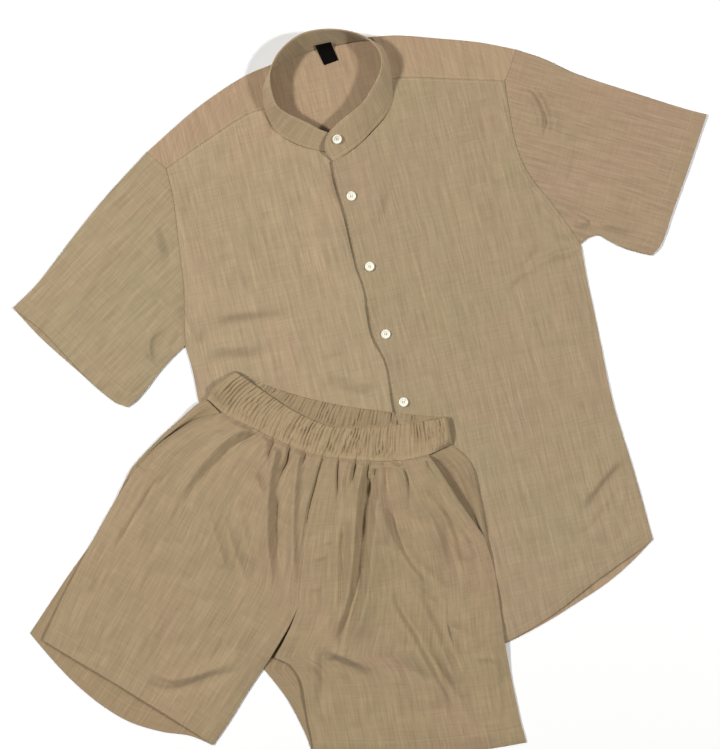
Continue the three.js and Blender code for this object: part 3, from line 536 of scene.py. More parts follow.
def build_shirt_back():
    """The body panel row by row, folded over at both shoulders into the strips."""
    right = joined((side_right, 0.55), (armhole_right, 0.92), (strip_end_right, 1))
    left = joined((side_left, 0.55), (armhole_left, 0.92), (strip_end_left, 1))
    shoulder = 0.35
    top = joined((fold_left, shoulder), (neck_back, 1 - shoulder), (fold_right, 1))
    plan = panel_plan(hem_back, right, top, left)
    strip_left = panel_plan(strip_seam_left, neck_side_left, fold_left, strip_end_left)
    strip_right = panel_plan(strip_seam_right, strip_end_right, fold_right, neck_side_right)
    columns = joined_steps((shoulder, 195, 4), (1 - 2 * shoulder, 126, 4), (shoulder, 188, 4))
    last_left = len(steps(195, 4)) - 1
    first_right = last_left + len(steps(126, 4)) - 1
    body_rows = steps(760, 5)[:-1]
    strip_rows = 1 - steps(44, 3)[1:]
    points = []
    weave = []
    sewing = []
    index = {}

    def add(i, j, point, z, pattern, sewn):
        x, y = to_world(SHIRT_PLACE, point[0], point[1])
        index[(i, j)] = len(points)
        points.append([x, y, z])
        weave.append(pattern)
        sewing.append(sewn)

    hem_line = aside(hem_back, SHIRT_HEM)
    unsewn = [30, 0]
    for i, s in enumerate(columns):
        body = plan(np.full(len(body_rows), s), body_rows)
        far, travel = beside([(hem_line, 30)], body[:, 0], body[:, 1])
        for j, point in enumerate(body):
            add(i, j, point, CLOTH / 2, point / 1000, [far[j], travel[j]])
        j = len(body_rows)
        edge = plan(s, 1.0)
        if last_left < i < first_right:
            add(i, j, edge, CLOTH / 2, edge / 1000, unsewn)
            continue
        if i <= last_left:
            strip = strip_left(np.full(len(strip_rows), s / shoulder), strip_rows)
            seam = strip_seam_left
        else:
            strip = strip_right(np.full(len(strip_rows), (s - 1 + shoulder) / shoulder), strip_rows)
            seam = strip_seam_right
        for point, z in folded_edge(edge[None, :], strip[-1][None, :]):
            add(i, j, point[0], z[0], edge / 1000, unsewn)
            j += 1
        heights = shirt_height(strip[:, 0], strip[:, 1])
        from_fold = np.hypot(*(strip - edge).T)
        heights += edge_drop(np.maximum(inside(shirt_outline, strip[:, 0], strip[:, 1]), 0))
        far, travel = beside([(seam, 24)], strip[:, 0], strip[:, 1])
        heights -= sunk(np.abs(far))
        for k, point in enumerate(strip):
            if from_fold[k] > 1.3:
                mirrored = edge + [0, from_fold[k]] + [point[0] - edge[0], 0]
                add(i, j, point, heights[k], mirrored / 1000, [abs(far[k]) - 3, travel[k]])
                j += 1
    cells = []
    for (i, j), a in index.items():
        corners = [(i, j), (i, j + 1), (i + 1, j + 1), (i + 1, j)]
        if all(corner in index for corner in corners):
            cells.append([index[corner] for corner in corners])
    cloth = slub_cloth("shirt back cloth", (176, 151, 119), (178, 148, 120), (181, 162, 130))
    return cloth_piece("shirt_back_cloth", "shirt_back", points, weave, sewing, cells, CLOTH_WALL, cloth)


shirt_back = build_shirt_back()

# Shirt fronts. Two panels of the same cloth, hemmed below, sewn to the back at the sides, to the
# strips at the shoulders and to the sleeves at the armholes. The viewer's right one laps over.
LAP_RISE = 1.5
PLACKET = 25
ARMHOLE_STITCH = 7
STRIP_STITCH = 3
neck_front_right = line([[-21, -21], [-1, -16], [22, -6], [41, 6], [58, 18], [72, 36], [76, 63]])
neck_front_left = line([[-85, 65], [-83, 48], [-76, 32], [-62, 17], [-46, 5], [-22, -9], [3, -14]])
placket_right = line([[-20, -667], [-20, -348], [-16, -287], [-24, -245], [-20, -189], [-23, -155],
                      [-21, -90], [-23, -47], [-21, -21]])
placket_left = line([[3, -668], [3, -340], [3, -14]])


def lap_rise(u):
    """How far the right front stands up where it laps over the left."""
    return LAP_RISE * smooth(38, 9, u)


def front_height(u, v, rise):
    """Middle of a front, sunk at its seams and thicker over the turnings beside them."""
    height = shirt_height(u, v) + rise(u)
    for seam in (armhole_right, armhole_left, strip_seam_right, strip_seam_left):
        far = distance_to([(seam, 16)], u, v)
        height -= sunk(far)
        height += 0.6 * smooth(9, 6, far)
    return height


def build_front(name, node, plan, columns, rise, sewn_lines, colour, warm):
    """One front panel; its free edge lifts and waves a little between the buttons."""
    rows = joined_steps((0.6, 390, 3.3), (0.4, 235, 3.3))
    s, w = np.meshgrid(columns, rows)
    flat = plan(s.ravel(), w.ravel())
    u = flat[:, 0]
    v = flat[:, 1]
    z = front_height(u, v, rise)
    free, travel = beside([(placket_right, 40)], u, v)
    wave = 0.5 + 0.5 * np.sin(travel / 31 + 1.5 * np.sin(travel / 70))
    if node == "shirt_front_right":
        z += (1.8 + 2.0 * wave) * np.exp(-np.abs(free) / 7)
        z -= 0.5 * np.exp(-((free + PLACKET) / 2.5) ** 2)
    else:
        z += (0.8 + 1.2 * wave) * np.exp(-((free - 8) / 4.5) ** 2)
    x, y = to_world(SHIRT_PLACE, u, v)
    far, travel = beside(sewn_lines, u, v)
    cloth = slub_cloth(name, colour, warm, (183, 164, 132))
    return cloth_piece(
        name, node, np.stack([x, y, z], -1), along_grain(u, v, 0), np.stack([far, travel], -1),
        grid_cells(len(columns), len(rows)), CLOTH_WALL, cloth)


front_left = build_front(
    "shirt_front_left_cloth", "shirt_front_left",
    panel_plan(hem_front_left, placket_left, joined((strip_seam_left, 0.5), (neck_front_left, 1)),
               joined((side_left, 0.6), (armhole_left, 1))),
    joined_steps((0.5, 150, 3.2), (0.5, 130, 3.2)), lambda u: 0 * u,
    [(aside(hem_front_left, SHIRT_HEM), 20), (aside(armhole_left, -ARMHOLE_STITCH), 16),
     (aside(strip_seam_left, -STRIP_STITCH), 12)],
    (174, 154, 122), (179, 152, 123))
front_right = build_front(
    "shirt_front_right_cloth", "shirt_front_right",
    panel_plan(hem_front_right, joined((side_right, 0.6), (armhole_right, 1)),
               joined((neck_front_right, 0.5), (strip_seam_right, 1)), placket_right),
    joined_steps((0.5, 135, 3.2), (0.5, 145, 3.2)), lap_rise,
    [(aside(hem_front_right, SHIRT_HEM), 20), (aside(armhole_right, ARMHOLE_STITCH), 16),
     (aside(strip_seam_right, -STRIP_STITCH), 12), (aside(placket_right, -2), 40)],
    (168, 149, 117), (171, 147, 118))

# Sleeves. Each is one panel sewn into a short tube, joined to the body at the armhole and turned
# up 18 mm at the hem; it lies flat, folded along its top and along the underarm.
SLEEVE_TURN_UP = 18
sleeve_under_hem_left = line([[-348, -260], [-364, -248], [-401, -196], [-435, -146], [-459, -102]])


def build_sleeve(name, node, upper, lower, hem, armhole, turn_up, grain, colour, warm):
    """A flat tube: rings of points across the lower layer, the fold, the upper layer, the underarm."""
    along = steps(245, 3.3)
    across = steps(235, 3.3)[1:-1]
    ones = np.ones(len(along))
    rings = []
    for w in across:
        under = lower(along, w * ones)
        rings.append((under, np.full(len(along), CLOTH / 2)))
    fold = folded_edge(upper(along, ones), upper(along, 0.9 * ones))
    underarm = folded_edge(upper(along, 0 * ones), upper(along, 0.1 * ones))
    rings.extend(fold)
    for w in across[::-1]:
        over = upper(along, w * ones)
        height = shirt_height(over[:, 0], over[:, 1])
        height += edge_drop(np.maximum(inside(shirt_outline, over[:, 0], over[:, 1]), 0))
        height -= sunk(distance_to([(armhole, 16)], over[:, 0], over[:, 1]))
        to_hem, travel = beside([(hem, 16)], over[:, 0], over[:, 1])
        to_hem = np.abs(to_hem)
        pucker = np.sin(travel / 3.1 + 2 * np.sin(travel / 17))
        height += 0.35 * smooth(SLEEVE_TURN_UP + 1, SLEEVE_TURN_UP - 2, to_hem)
        height += 0.5 * pucker * np.exp(-((to_hem - SLEEVE_TURN_UP + 3) / 7) ** 2)
        rings.append((over, height))
    rings.extend(underarm[::-1])
    flat = np.concatenate([ring[0] for ring in rings])
    z = np.concatenate([ring[1] for ring in rings])
    x, y = to_world(SHIRT_PLACE, flat[:, 0], flat[:, 1])
    across_count = len(along)
    round_count = len(rings)
    cells = grid_cells(across_count, round_count)
    a = np.arange(across_count - 1)
    last = (round_count - 1) * across_count
    closing = np.stack([last + a, last + a + 1, a + 1, a], -1)
    far, travel = beside([(aside(hem, turn_up), 16)], flat[:, 0], flat[:, 1])
    cloth = slub_cloth(name, colour, warm, (181, 161, 129))
    return cloth_piece(
        name, node, np.stack([x, y, z], -1), along_grain(flat[:, 0], flat[:, 1], grain),
        np.stack([far, travel], -1), np.concatenate([cells, closing]), CLOTH_WALL, cloth)


shoulder_right = joined((armhole_right, 0.86), (strip_end_right, 1))
shoulder_left = joined((armhole_left, 0.86), (strip_end_left, 1))
plan_right = panel_plan(underarm_right, sleeve_hem_right, sleeve_fold_right, shoulder_right)
plan_left = panel_plan(underarm_left, shoulder_left, sleeve_fold_left, sleeve_hem_left)
plan_left_lower = panel_plan(underarm_left, shoulder_left, sleeve_fold_left, sleeve_under_hem_left)
sleeve_right = build_sleeve(
    "sleeve_right_cloth", "sleeve_right", plan_right, plan_right, sleeve_hem_right, armhole_right,
    SLEEVE_TURN_UP, 60.4, (169, 146, 116), (173, 145, 118))
sleeve_left = build_sleeve(
    "sleeve_left_cloth", "sleeve_left", plan_left, plan_left_lower, sleeve_hem_left, armhole_left,
    -SLEEVE_TURN_UP, -58.0, (169, 151, 118), (171, 147, 117))

# Collar. A standing band of two plies of the same cloth, stiff enough to hold its ring, sewn to
# the neck edge all round and topstitched; its right end laps over the left at the top button.
COLLAR_WALL = 1.6
COLLAR_LENGTH = 490
COLLAR_HEIGHT = 38

# Sections round the neck, from the end with the button to the end beneath it: foot and rim point.
collar_sections = [
    ([-20, -20, 6.9], [-15, 16, 20]),
    ([-2, -14, 6.8], [3, 26, 23]),
    ([21, -4, 6.2], [18, 32, 26]),
    ([40, 8, 5.5], [34, 40, 28]),
    ([57, 20, 5.4], [48, 53, 29]),
    ([71, 37, 5.4], [60, 66, 31]),
    ([77, 61, 5.4], [68, 79, 32]),
    ([79, 85, 5.2], [70, 95, 33]),
    ([75, 106, 4.8], [63, 111, 33]),
    ([58, 119, 3.9], [46, 126, 34]),
    ([21, 123, 2.7], [18, 138, 34]),
    ([-12, 124, 2.5], [-13, 142, 34]),
    ([-41, 120, 2.9], [-36, 136, 34]),
    ([-66, 112, 4.0], [-56, 123, 33]),
    ([-81, 95, 5.0], [-70, 104, 32]),
    ([-87, 70, 5.3], [-74, 82, 31]),
    ([-84, 47, 5.4], [-71, 61, 29]),
    ([-77, 30, 5.4], [-58, 47, 27]),
    ([-61, 15, 5.4], [-41, 34, 23]),
    ([-45, 4, 5.4], [-26, 21, 19]),
    ([-24, -6, 5.4], [-10, 11, 14.5]),
]
collar_foot = line([row[0] for row in collar_sections])
collar_rim = line([row[1] for row in collar_sections])


def collar_point(s, h):
    """Point on the middle of the collar: s goes round the neck, h from foot to rim."""
    s, h = np.broadcast_arrays(np.asarray(s, float), np.asarray(h, float))
    point = collar_foot(s) * (1 - h[..., None]) + collar_rim(s) * h[..., None]
    bulge = 8.5 * 4 * h * (1 - h) * np.maximum(0, 1 - s / 0.08) ** 2
    x, y = to_world(SHIRT_PLACE, point[..., 0] - bulge, point[..., 1])
    return np.stack([x, y, point[..., 2]], -1)


def build_collar():
    """The ring as one sheet; it starts a little below its foot, so that it meets the neck edge."""
    around = steps(COLLAR_LENGTH, 2.2)
    upward = np.linspace(-0.05, 1, 20)
    s, h = np.meshgrid(around, upward)
    s = s.ravel()
    h = h.ravel()
    points = collar_point(s, h)
    along = COLLAR_LENGTH * s
    points[:, 2] += 0.35 * ripple(along, COLLAR_HEIGHT * h, 17, 8) * np.sin(math.pi * h)
    to_edge = np.minimum(np.minimum(COLLAR_HEIGHT * h, COLLAR_HEIGHT * (1 - h)), along)
    sewing = np.stack([to_edge - 3, along], -1)
    cloth = slub_cloth("collar cloth", (178, 156, 122), (180, 155, 123), (192, 171, 137))
    return cloth_piece(
        "collar_cloth", "collar_band", points,
        np.stack([COLLAR_LENGTH / 1000 * s, COLLAR_HEIGHT / 1000 * h], -1), sewing,
        grid_cells(len(around), len(upward)), COLLAR_WALL, cloth)


collar = build_collar()

# Neck label. A plain black woven tab sewn into the seam at the back of the neck; it hangs down on
# the back panel from the inside of the collar. Its rows: left point, right point and height.
LABEL_WALL = 0.6
label_sections = [
    ([-1, 101], [18, 103], 1.8),
    ([-3, 110], [16.6, 111.5], 1.8),
    ([-4.4, 117], [15.4, 118], 2.1),
    ([-5.2, 121.3], [14.8, 121.3], 4.6),
    ([-5.8, 124.0], [14.3, 123.6], 8.4),
    ([-6.3, 126.3], [14.0, 125.7], 12.4),
]


def plain_material(name, colour, roughness, specular=0.5):
    """An even material of one colour, without any pattern."""
    material = bpy.data.materials.new(name)
    material.use_nodes = True
    surface = material.node_tree.nodes["Principled BSDF"]
    surface.inputs["Base Color"].default_value = colour
    surface.inputs["Roughness"].default_value = roughness
    surface.inputs["Specular IOR Level"].default_value = specular
    return material


def build_label():
    left = line([[*row[0], row[2]] for row in label_sections])
    right = line([[*row[1], row[2]] for row in label_sections])
    across = 9
    down = 25
    s, h = np.meshgrid(np.linspace(0, 1, across), np.linspace(0, 1, down))
    s = s.ravel()[:, None]
    h = h.ravel()
    flat = left(h) * (1 - s) + right(h) * s
    x, y = to_world(SHIRT_PLACE, flat[:, 0], flat[:, 1])
    black = plain_material("label weave", (0.004, 0.003, 0.003, 1), 1.0, 0.05)
    weave = np.stack([0.02 * s[:, 0], 0.03 * h], -1)
    return cloth_piece("neck_label_cloth", "neck_label", np.stack([x, y, flat[:, 2]], -1), weave, weave,
                       grid_cells(across, down), LABEL_WALL, black)


label = build_label()

# Buttons. Off-white moulded plastic with a raised rim and a sunk middle, 12 mm across, each sewn on
# with two bars of tan thread. One closes the collar and six the front; the last two are covered.
COLLAR_BUTTON_LIFT = 1.35
FRONT_BUTTON_LIFT = 0.6
BAR_OFFSET = 1.1
BAR_HALF_LENGTH = 1.8
BAR_LEVELS = ((1.45, 0.42), (1.95, 0.22))
button_places = [[-8, -69], [-7, -161], [-8, -249], [-7, -338], [-7, -426], [-7, -514]]

# Half of a button's section: radius and height, from the middle of its top round to its underside.
button_profile = [
    (0.0, 1.45), (2.0, 1.45), (3.3, 1.55), (3.9, 1.95), (4.3, 2.4), (4.8, 2.6), (5.3, 2.55),
    (5.75, 2.3), (6.0, 1.85), (5.95, 1.2), (5.7, 0.6), (5.2, 0.15), (4.4, 0.0), (0.0, 0.0),
]


button_plastic = plain_material("button plastic", from_srgb(235, 233, 216), 0.35)
button_thread = plain_material("button thread", from_srgb(176, 156, 122), 0.9)


def build_button(name, node, centre, axis):
    """A turned button with two thread bars, with its underside at the centre given."""
    axis = np.asarray(axis, float) / np.linalg.norm(axis)
    first = np.cross([0, 1, 0], axis)
    first /= np.linalg.norm(first)
    second = np.cross(axis, first)
    sides = 40
    points = []
    faces = []
    turn = 2 * math.pi * np.arange(sides) / sides
    for radius, height in button_profile:
        ring = (centre + height * axis + radius * np.cos(turn)[:, None] * first
                + radius * np.sin(turn)[:, None] * second)
        points.extend(ring.tolist())
    for k in range(len(button_profile) - 1):
        for i in range(sides):
            near = (i + 1) % sides
            faces.append([k * sides + i, (k + 1) * sides + i, (k + 1) * sides + near, k * sides + near])
    disc = len(faces)
    for offset in (-BAR_OFFSET, BAR_OFFSET):
        base = len(points)
        for height, half in BAR_LEVELS:
            for a, b in ((-1, -1), (1, -1), (1, 1), (-1, 1)):
                beside_middle = (offset + a * half) * first + b * BAR_HALF_LENGTH * second
                points.append((centre + height * axis + beside_middle).tolist())
        faces.append([base + 4, base + 5, base + 6, base + 7])
        for i in range(4):
            near = (i + 1) % 4
            faces.append([base + i, base + near, base + 4 + near, base + 4 + i])
    mesh = bpy.data.meshes.new(name)
    mesh.from_pydata((np.array(points) / 1000).tolist(), [], faces)
    mesh.materials.append(button_plastic)
    mesh.materials.append(button_thread)
    for face in mesh.polygons:
        face.use_smooth = face.index < disc
        face.material_index = 0 if face.index < disc else 1
    mesh.validate()
    button = bpy.data.objects.new(name, mesh)
    bpy.context.scene.collection.objects.link(button)
    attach(button, "root")
    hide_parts(node)
    return button


collar_middle = collar_point(0.03, 0.55)
collar_along = collar_point(0.033, 0.55) - collar_point(0.027, 0.55)
collar_up = collar_point(0.03, 0.57) - collar_point(0.03, 0.53)
collar_axis = np.cross(collar_along, collar_up)
collar_axis = collar_axis * np.sign(collar_axis[2]) / np.linalg.norm(collar_axis)
build_button("button_1_form", "button_1", collar_middle + COLLAR_BUTTON_LIFT * collar_axis, collar_axis)
for count, (u, v) in enumerate(button_places):
    x, y = to_world(SHIRT_PLACE, u, v)
    level = float(front_height(np.array([u]), np.array([v]), lap_rise)[0]) + FRONT_BUTTON_LIFT
    build_button(f"button_{count + 2}_form", f"button_{count + 2}", np.array([x, y, level]), (0, 0, 1))

# Shorts backs. Two leg panels of the same cloth, joined up the middle, the lowest layer of the
# shorts; they lie partly on the shirt and show past the front hem of the left leg.
SHORTS_PLACE = (-34.3, -80.0, -9)
SHORTS_RISE = 6.2
SHORTS_HEM = 20
BUTTON_RISE = 3.4
BUTTON_REACH = 28
band_foot = line([[-169, 48], [-140, 31], [-107, 21], [-75, 11], [-25, 0], [32, 1], [80, 8], [115, 20],
                  [146, 40]])
back_top_left = stretch_of(band_foot, -169, -8)
back_top_right = stretch_of(band_foot, -8, 146)
band_middle = back_top_left(1.0).tolist()
centre_upper = line([[-14, -195], [-17, -136], [-17, -77], [-14, -41], band_middle])
centre_lower = line([[-45, -279], [-22, -222], [-14, -195]])
outer_left = line([[-345, -281], [-308, -200], [-286, -155], [-265, -99], [-249, -52], [-220, -9],
                   [-195, 22], [-181, 39], [-169, 48]])
outer_right = line([[299, -319], [286, -290], [252, -198], [226, -114], [208, -68], [188, -11], [172, 22],
                    [146, 40]])
hem_back_leg_left = line([[-345, -281], [-321, -302], [-287, -329], [-245, -355], [-204, -372],
                          [-160, -378.5], [-124, -378], [-93, -385]])
hem_leg_right = line([[35, -380], [144, -362], [252, -335], [299, -319]])
inseam_left = line([[-93, -385], [-77, -352], [-60, -311], [-45, -279]])
inseam_right = line([[35, -380], [27, -364], [18, -349], [-10, -312], [-45, -279]])


def shorts_rest(u, v):
    """Height of whatever lies beneath the shorts: the surface, or the shirt with its buttons."""
    x, y = to_world(SHORTS_PLACE, u, v)
    su, sv = to_garment(SHIRT_PLACE, x, y)
    height = SHORTS_RISE * smooth(-46, 22, inside(shirt_outline, su, sv))
    for bu, bv in button_places[4:]:
        height += BUTTON_RISE * np.exp(-(((su - bu) ** 2 + (sv - bv) ** 2) / BUTTON_REACH ** 2))
    return height


def shorts_piece(name, node, plan, columns, rows, height, sewn_lines, size, colour, warm):
    """One panel of the shorts on a grid of fractions; size is its weave map in metres."""
    s, w = np.meshgrid(columns, rows)
    s = s.ravel()
    w = w.ravel()
    flat = plan(s, w)
    x, y = to_world(SHORTS_PLACE, flat[:, 0], flat[:, 1])
    z = height(flat[:, 0], flat[:, 1], s, w)
    far, travel = beside(sewn_lines, flat[:, 0], flat[:, 1])
    cloth = slub_cloth(name, colour, warm, (177, 157, 124))
    weave = np.stack([size[0] * s, size[1] * w], -1)
    return cloth_piece(name, node, np.stack([x, y, z], -1), weave, np.stack([far, travel], -1),
                       grid_cells(len(columns), len(rows)), CLOTH_WALL, cloth)


def back_height(u, v, s, w):
    """Middle of the shorts' lowest layer."""
    return shorts_rest(u, v) + CLOTH / 2


# Both backs are given a darker colour than the fronts of the same cloth; the difference is painted shade
# where they show beneath the fronts.
back_left = shorts_piece(
    "shorts_back_left_cloth", "shorts_back_left",
    panel_plan(hem_back_leg_left, joined((inseam_left, 0.3), (centre_lower, 0.5), (centre_upper, 1)),
               back_top_left, outer_left),
    steps(250, 4.5), steps(400, 4.5), back_height, [(aside(hem_back_leg_left, SHORTS_HEM), 20)],
    (0.25, 0.4), (164, 142, 109), (166, 140, 109))
back_right = shorts_piece(
    "shorts_back_right_cloth", "shorts_back_right",
    panel_plan(hem_leg_right, outer_right, back_top_right,
               joined((inseam_right, 0.3), (centre_lower, 0.5), (centre_upper, 1))),
    steps(250, 4.5), steps(400, 4.5), back_height, [(aside(hem_leg_right, SHORTS_HEM), 20)],
    (0.25, 0.4), (162, 141, 108), (164, 139, 109))

# Pocket facings. A piece of the same cloth behind each slanted pocket opening; its outer part
# shows between the pocket edge and the side seam, the rest is tucked under the front.
POCKET_TUCK = 11
POCKET_CLEAR = 0.3
FACING_PUFF = 4.0
pocket_sides_left = (
    line([[-257, -75], [-247, -78], [-236, -80]]),
    aside(line([[-241, -72], [-219, -17], [-180, 18], [-147, 34]]), -POCKET_TUCK),
    line([[-169, 48], [-155, 39], [-142, 31]]),
    line([[-257, -75], [-249, -52], [-220, -9], [-195, 22], [-181, 39], [-169, 48]]))
pocket_sides_right = (
    line([[196, -82], [205, -80], [214, -84]]),
    line([[214, -84], [208, -68], [188, -11], [172, 22], [146, 40]]),
    line([[112, 18], [128, 28], [146, 40]]),
    aside(line([[206, -84], [183, -47], [162, -25], [141, -1], [119, 22]]), POCKET_TUCK))


def facing_height(u, v, s, w):
    """Middle of a facing; its outer part, which shows, swells a little."""
    outward = np.where(u < 0, s, 1 - s)
    puff = FACING_PUFF * np.sin(math.pi * np.clip(outward / 0.45, 0, 1)) * np.sin(math.pi * w)
    return shorts_rest(u, v) + LAYER + POCKET_CLEAR + CLOTH / 2 + puff


# Both facings are given darker than the fronts of the same cloth as painted shade inside the pocket
# openings; the right one is darker still, with the painted shadow that its pocket edge casts on it.
pocket_left = shorts_piece(
    "pocket_left_cloth", "pocket_left", panel_plan(*pocket_sides_left), steps(30, 1.3), steps(150, 2.5),
    facing_height, [(aside(pocket_sides_left[3], -4), 12)], (0.03, 0.15),
    (162, 141, 108), (164, 140, 109))
pocket_right = shorts_piece(
    "pocket_right_cloth", "pocket_right", panel_plan(*pocket_sides_right), steps(30, 1.3), steps(150, 2.5),
    facing_height, [(aside(pocket_sides_right[1], 4), 12)], (0.03, 0.15),
    (158, 137, 105), (160, 136, 106))

# Shorts fronts. Two leg panels gathered into the waistband, joined up the middle, with a slanted
# pocket edge each and a hem 20 mm deep; the folds fall from the gathers.
SHORTS_PUFF = 2.4
SHORTS_PUFF_REACH = 8
SHORTS_FOLD_SCALE = 2.2
POCKET_EDGE_LIFT = 6.0
centre_lower_right = line([[-33, -262], [-20, -222], [-14, -195]])
panel_top_left = stretch_of(band_foot, -147, -8)
panel_top_right = stretch_of(band_foot, -8, 119)
pocket_edge_left = line([[-245, -54], [-219, -17], [-180, 18], panel_top_left(0.0).tolist()])
pocket_edge_right = line([[206, -70], [183, -47], [162, -25], [141, -1], panel_top_right(1.0).tolist()])
seam_left = line([[-327, -287], [-308, -221], [-290, -167]])
side_front_left = line([[-290, -167], [-265, -99], [-245, -54]])
side_front_right = line([[299, -319], [286, -290], [252, -198], [226, -114], [206, -70]])
hem_front_leg_left = line([[-327, -287], [-261, -313], [-197, -339], [-147, -360], [-93, -385]])
inseam_front_right = line([[35, -380], [31, -362], [21, -335], [5, -289], [-12, -269], [-33, -262]])
band_top_front = line([[-139, 88], [-115, 76], [-68, 54], [-36, 43], [-3, 38], [42, 45], [101, 61],
                       [135, 73]])
shorts_outline = outline(
    (hem_back_leg_left, 10), (inseam_left, 5), (reversed_line(inseam_right), 6), (hem_leg_right, 6),
    (outer_right, 12), (reversed_line(band_top_front), 10), (reversed_line(outer_left), 14))

# Folds of the shorts, in rows like the shirt's: line, slope width left and right, height, and
# the fractions over which it fades in and out. Most start at the waistband and run down.
shorts_folds = [
    ([[62, -6], [65, -60], [68, -110], [70, -160], [66, -200], [58, -242]], 18, 6, 4.6, 0.1, 0.2),
    ([[50, -8], [53, -47], [55, -70], [57, -103], [59, -137], [58, -171], [53, -203], [47, -242]],
     3.2, 8, -6.5, 0.1, 0.15),
    ([[36, -10], [39, -60], [43, -110], [46, -160], [42, -198], [34, -236]], 7, 12, 4.0, 0.1, 0.2),
    ([[26, -70], [28, -100], [33, -140], [38, -178], [40, -218]], 9, 3, -3.4, 0.2, 0.3),
    ([[55, -4], [57, -22], [64, -50]], 3, 3, -2.6, 0.1, 0.2),
    ([[-42, 4], [-42, -37], [-37, -87], [-29, -136], [-22, -180]], 6, 9, 3.6, 0.05, 0.3),
    ([[-72, 4], [-74, -36], [-70, -86], [-60, -136], [-46, -186]], 6, 15, 4.6, 0.05, 0.3),
    ([[-86, 10], [-90, -18], [-94, -48]], 5, 8, 2.4, 0.05, 0.5),
    ([[-112, -64], [-94, -118], [-72, -164]], 8, 11, 2.6, 0.4, 0.3),
    ([[-134, -74], [-113, -122], [-89, -166], [-76, -186]], 7, 8, -2.6, 0.4, 0.3),
    ([[-148, -84], [-128, -130], [-104, -174]], 6, 14, 2.6, 0.3, 0.3),
    ([[-92, -30], [-86, -44], [-80, -62]], 4, 6, -2.4, 0.4, 0.4),
    ([[-94, 16], [-121, -1], [-141, -26], [-166, -62], [-184, -112]], 10, 6, -2.2, 0.05, 0.4),
    ([[-102, 24], [-128, 9], [-150, -16], [-172, -54], [-188, -100]], 6, 13, 2.4, 0.1, 0.5),
    ([[-126, 26], [-142, 14], [-162, 10]], 4, 4, 1.4, 0.2, 0.5),
    ([[-86, -200], [-98, -250], [-112, -300]], 8, 10, -1.6, 0.3, 0.4),
    ([[-70, -206], [-82, -250], [-94, -290]], 10, 10, 1.4, 0.3, 0.4),
    ([[-204, -312], [-166, -326], [-124, -310], [-66, -280]], 5, 7, -2.6, 0.3, 0.3),
    ([[-196, -298], [-160, -310], [-118, -294], [-72, -268]], 9, 5, 2.2, 0.3, 0.4),
    ([[-213, -58], [-243, -125], [-258, -166]], 3, 2, -1.6, 0.2, 0.3),
    ([[-218, -66], [-247, -128], [-262, -164]], 5, 7, 1.2, 0.3, 0.3),
    ([[-216, -132], [-188, -140], [-158, -134]], 8, 8, -1.2, 0.4, 0.4),
    ([[-180, -192], [-140, -204], [-100, -204]], 10, 10, -1.0, 0.4, 0.4),
    ([[-252, -40], [-236, -50], [-216, -52]], 3, 3, 1.0, 0.2, 0.5),
    ([[24, -2], [23, -28], [28, -60]], 4, 4, 2.2, 0.05, 0.6),
    ([[38, -2], [38, -26], [36, -52]], 4, 4, 1.8, 0.05, 0.6),
    ([[70, 0], [72, -22], [78, -44]], 5, 5, -2.2, 0.05, 0.6),
    ([[64, -48], [79, -54], [92, -79], [104, -97], [122, -117], [143, -130], [172, -154], [206, -200]],
     9, 6, -3.0, 0.15, 0.4),
    ([[68, -44], [82, -76], [106, -108], [134, -138], [160, -166]], 6, 12, 2.8, 0.2, 0.4),
    ([[84, -130], [106, -174], [134, -208], [155, -238], [200, -292], [218, -308]], 6, 12, 3.0, 0.3, 0.3),
    ([[94, -134], [115, -175], [142, -206], [163, -232], [210, -289], [228, -306]], 6, 9, -2.9, 0.3, 0.2),
    ([[116, -136], [142, -170], [163, -200], [182, -232], [220, -284]], 6, 10, 2.6, 0.3, 0.3),
    ([[124, -140], [150, -160], [172, -187], [189, -214], [204, -250]], 5, 8, -2.5, 0.3, 0.3),
    ([[140, -130], [166, -152], [188, -180], [206, -214]], 8, 6, 1.8, 0.3, 0.4),
    ([[86, 6], [94, -12], [104, -42], [112, -62]], 4, 9, 3.0, 0.05, 0.5),
    ([[114, -22], [128, -30], [151, -52], [172, -96], [192, -134]], 8, 7, -2.6, 0.2, 0.4),
    ([[104, -30], [120, -42], [140, -66], [160, -106], [178, -140]], 6, 12, 2.8, 0.2, 0.4),
    ([[132, -26], [158, -50], [180, -92], [200, -128]], 9, 6, 2.2, 0.3, 0.4),
    ([[177, -72], [197, -88], [215, -109]], 4, 4, -1.5, 0.3, 0.4),
    ([[190, -118], [206, -160], [226, -200]], 5, 5, -1.4, 0.3, 0.4),
    ([[170, -196], [192, -190], [214, -206]], 6, 7, -1.6, 0.4, 0.4),
    ([[214, -222], [238, -222], [262, -246]], 5, 4, 2.2, 0.3, 0.3),
    ([[222, -214], [249, -231], [272, -256]], 3, 3, -2.2, 0.3, 0.2),
    ([[252, -242], [262, -271], [270, -300]], 4, 3, -1.6, 0.2, 0.3),
    ([[31, -252], [58, -261], [94, -271]], 6, 5, -3.0, 0.2, 0.5),
    ([[28, -240], [60, -248], [100, -260]], 10, 5, 2.8, 0.2, 0.5),
    ([[24, -236], [30, -270], [38, -318]], 4, 4, -2.0, 0.2, 0.5),
    ([[12, -240], [18, -280], [28, -330]], 7, 6, 2.2, 0.3, 0.4),
    ([[92, -236], [140, -250], [180, -250]], 10, 10, -1.0, 0.4, 0.4),
    ([[0, -110], [10, -106], [20, -102]], 3, 3, 0.9, 0.4, 0.4),
    ([[-6, -132], [6, -126], [14, -124]], 3, 3, 0.9, 0.4, 0.4),
    ([[-6, -168], [6, -167], [16, -162]], 3, 3, 1.0, 0.4, 0.4),
]

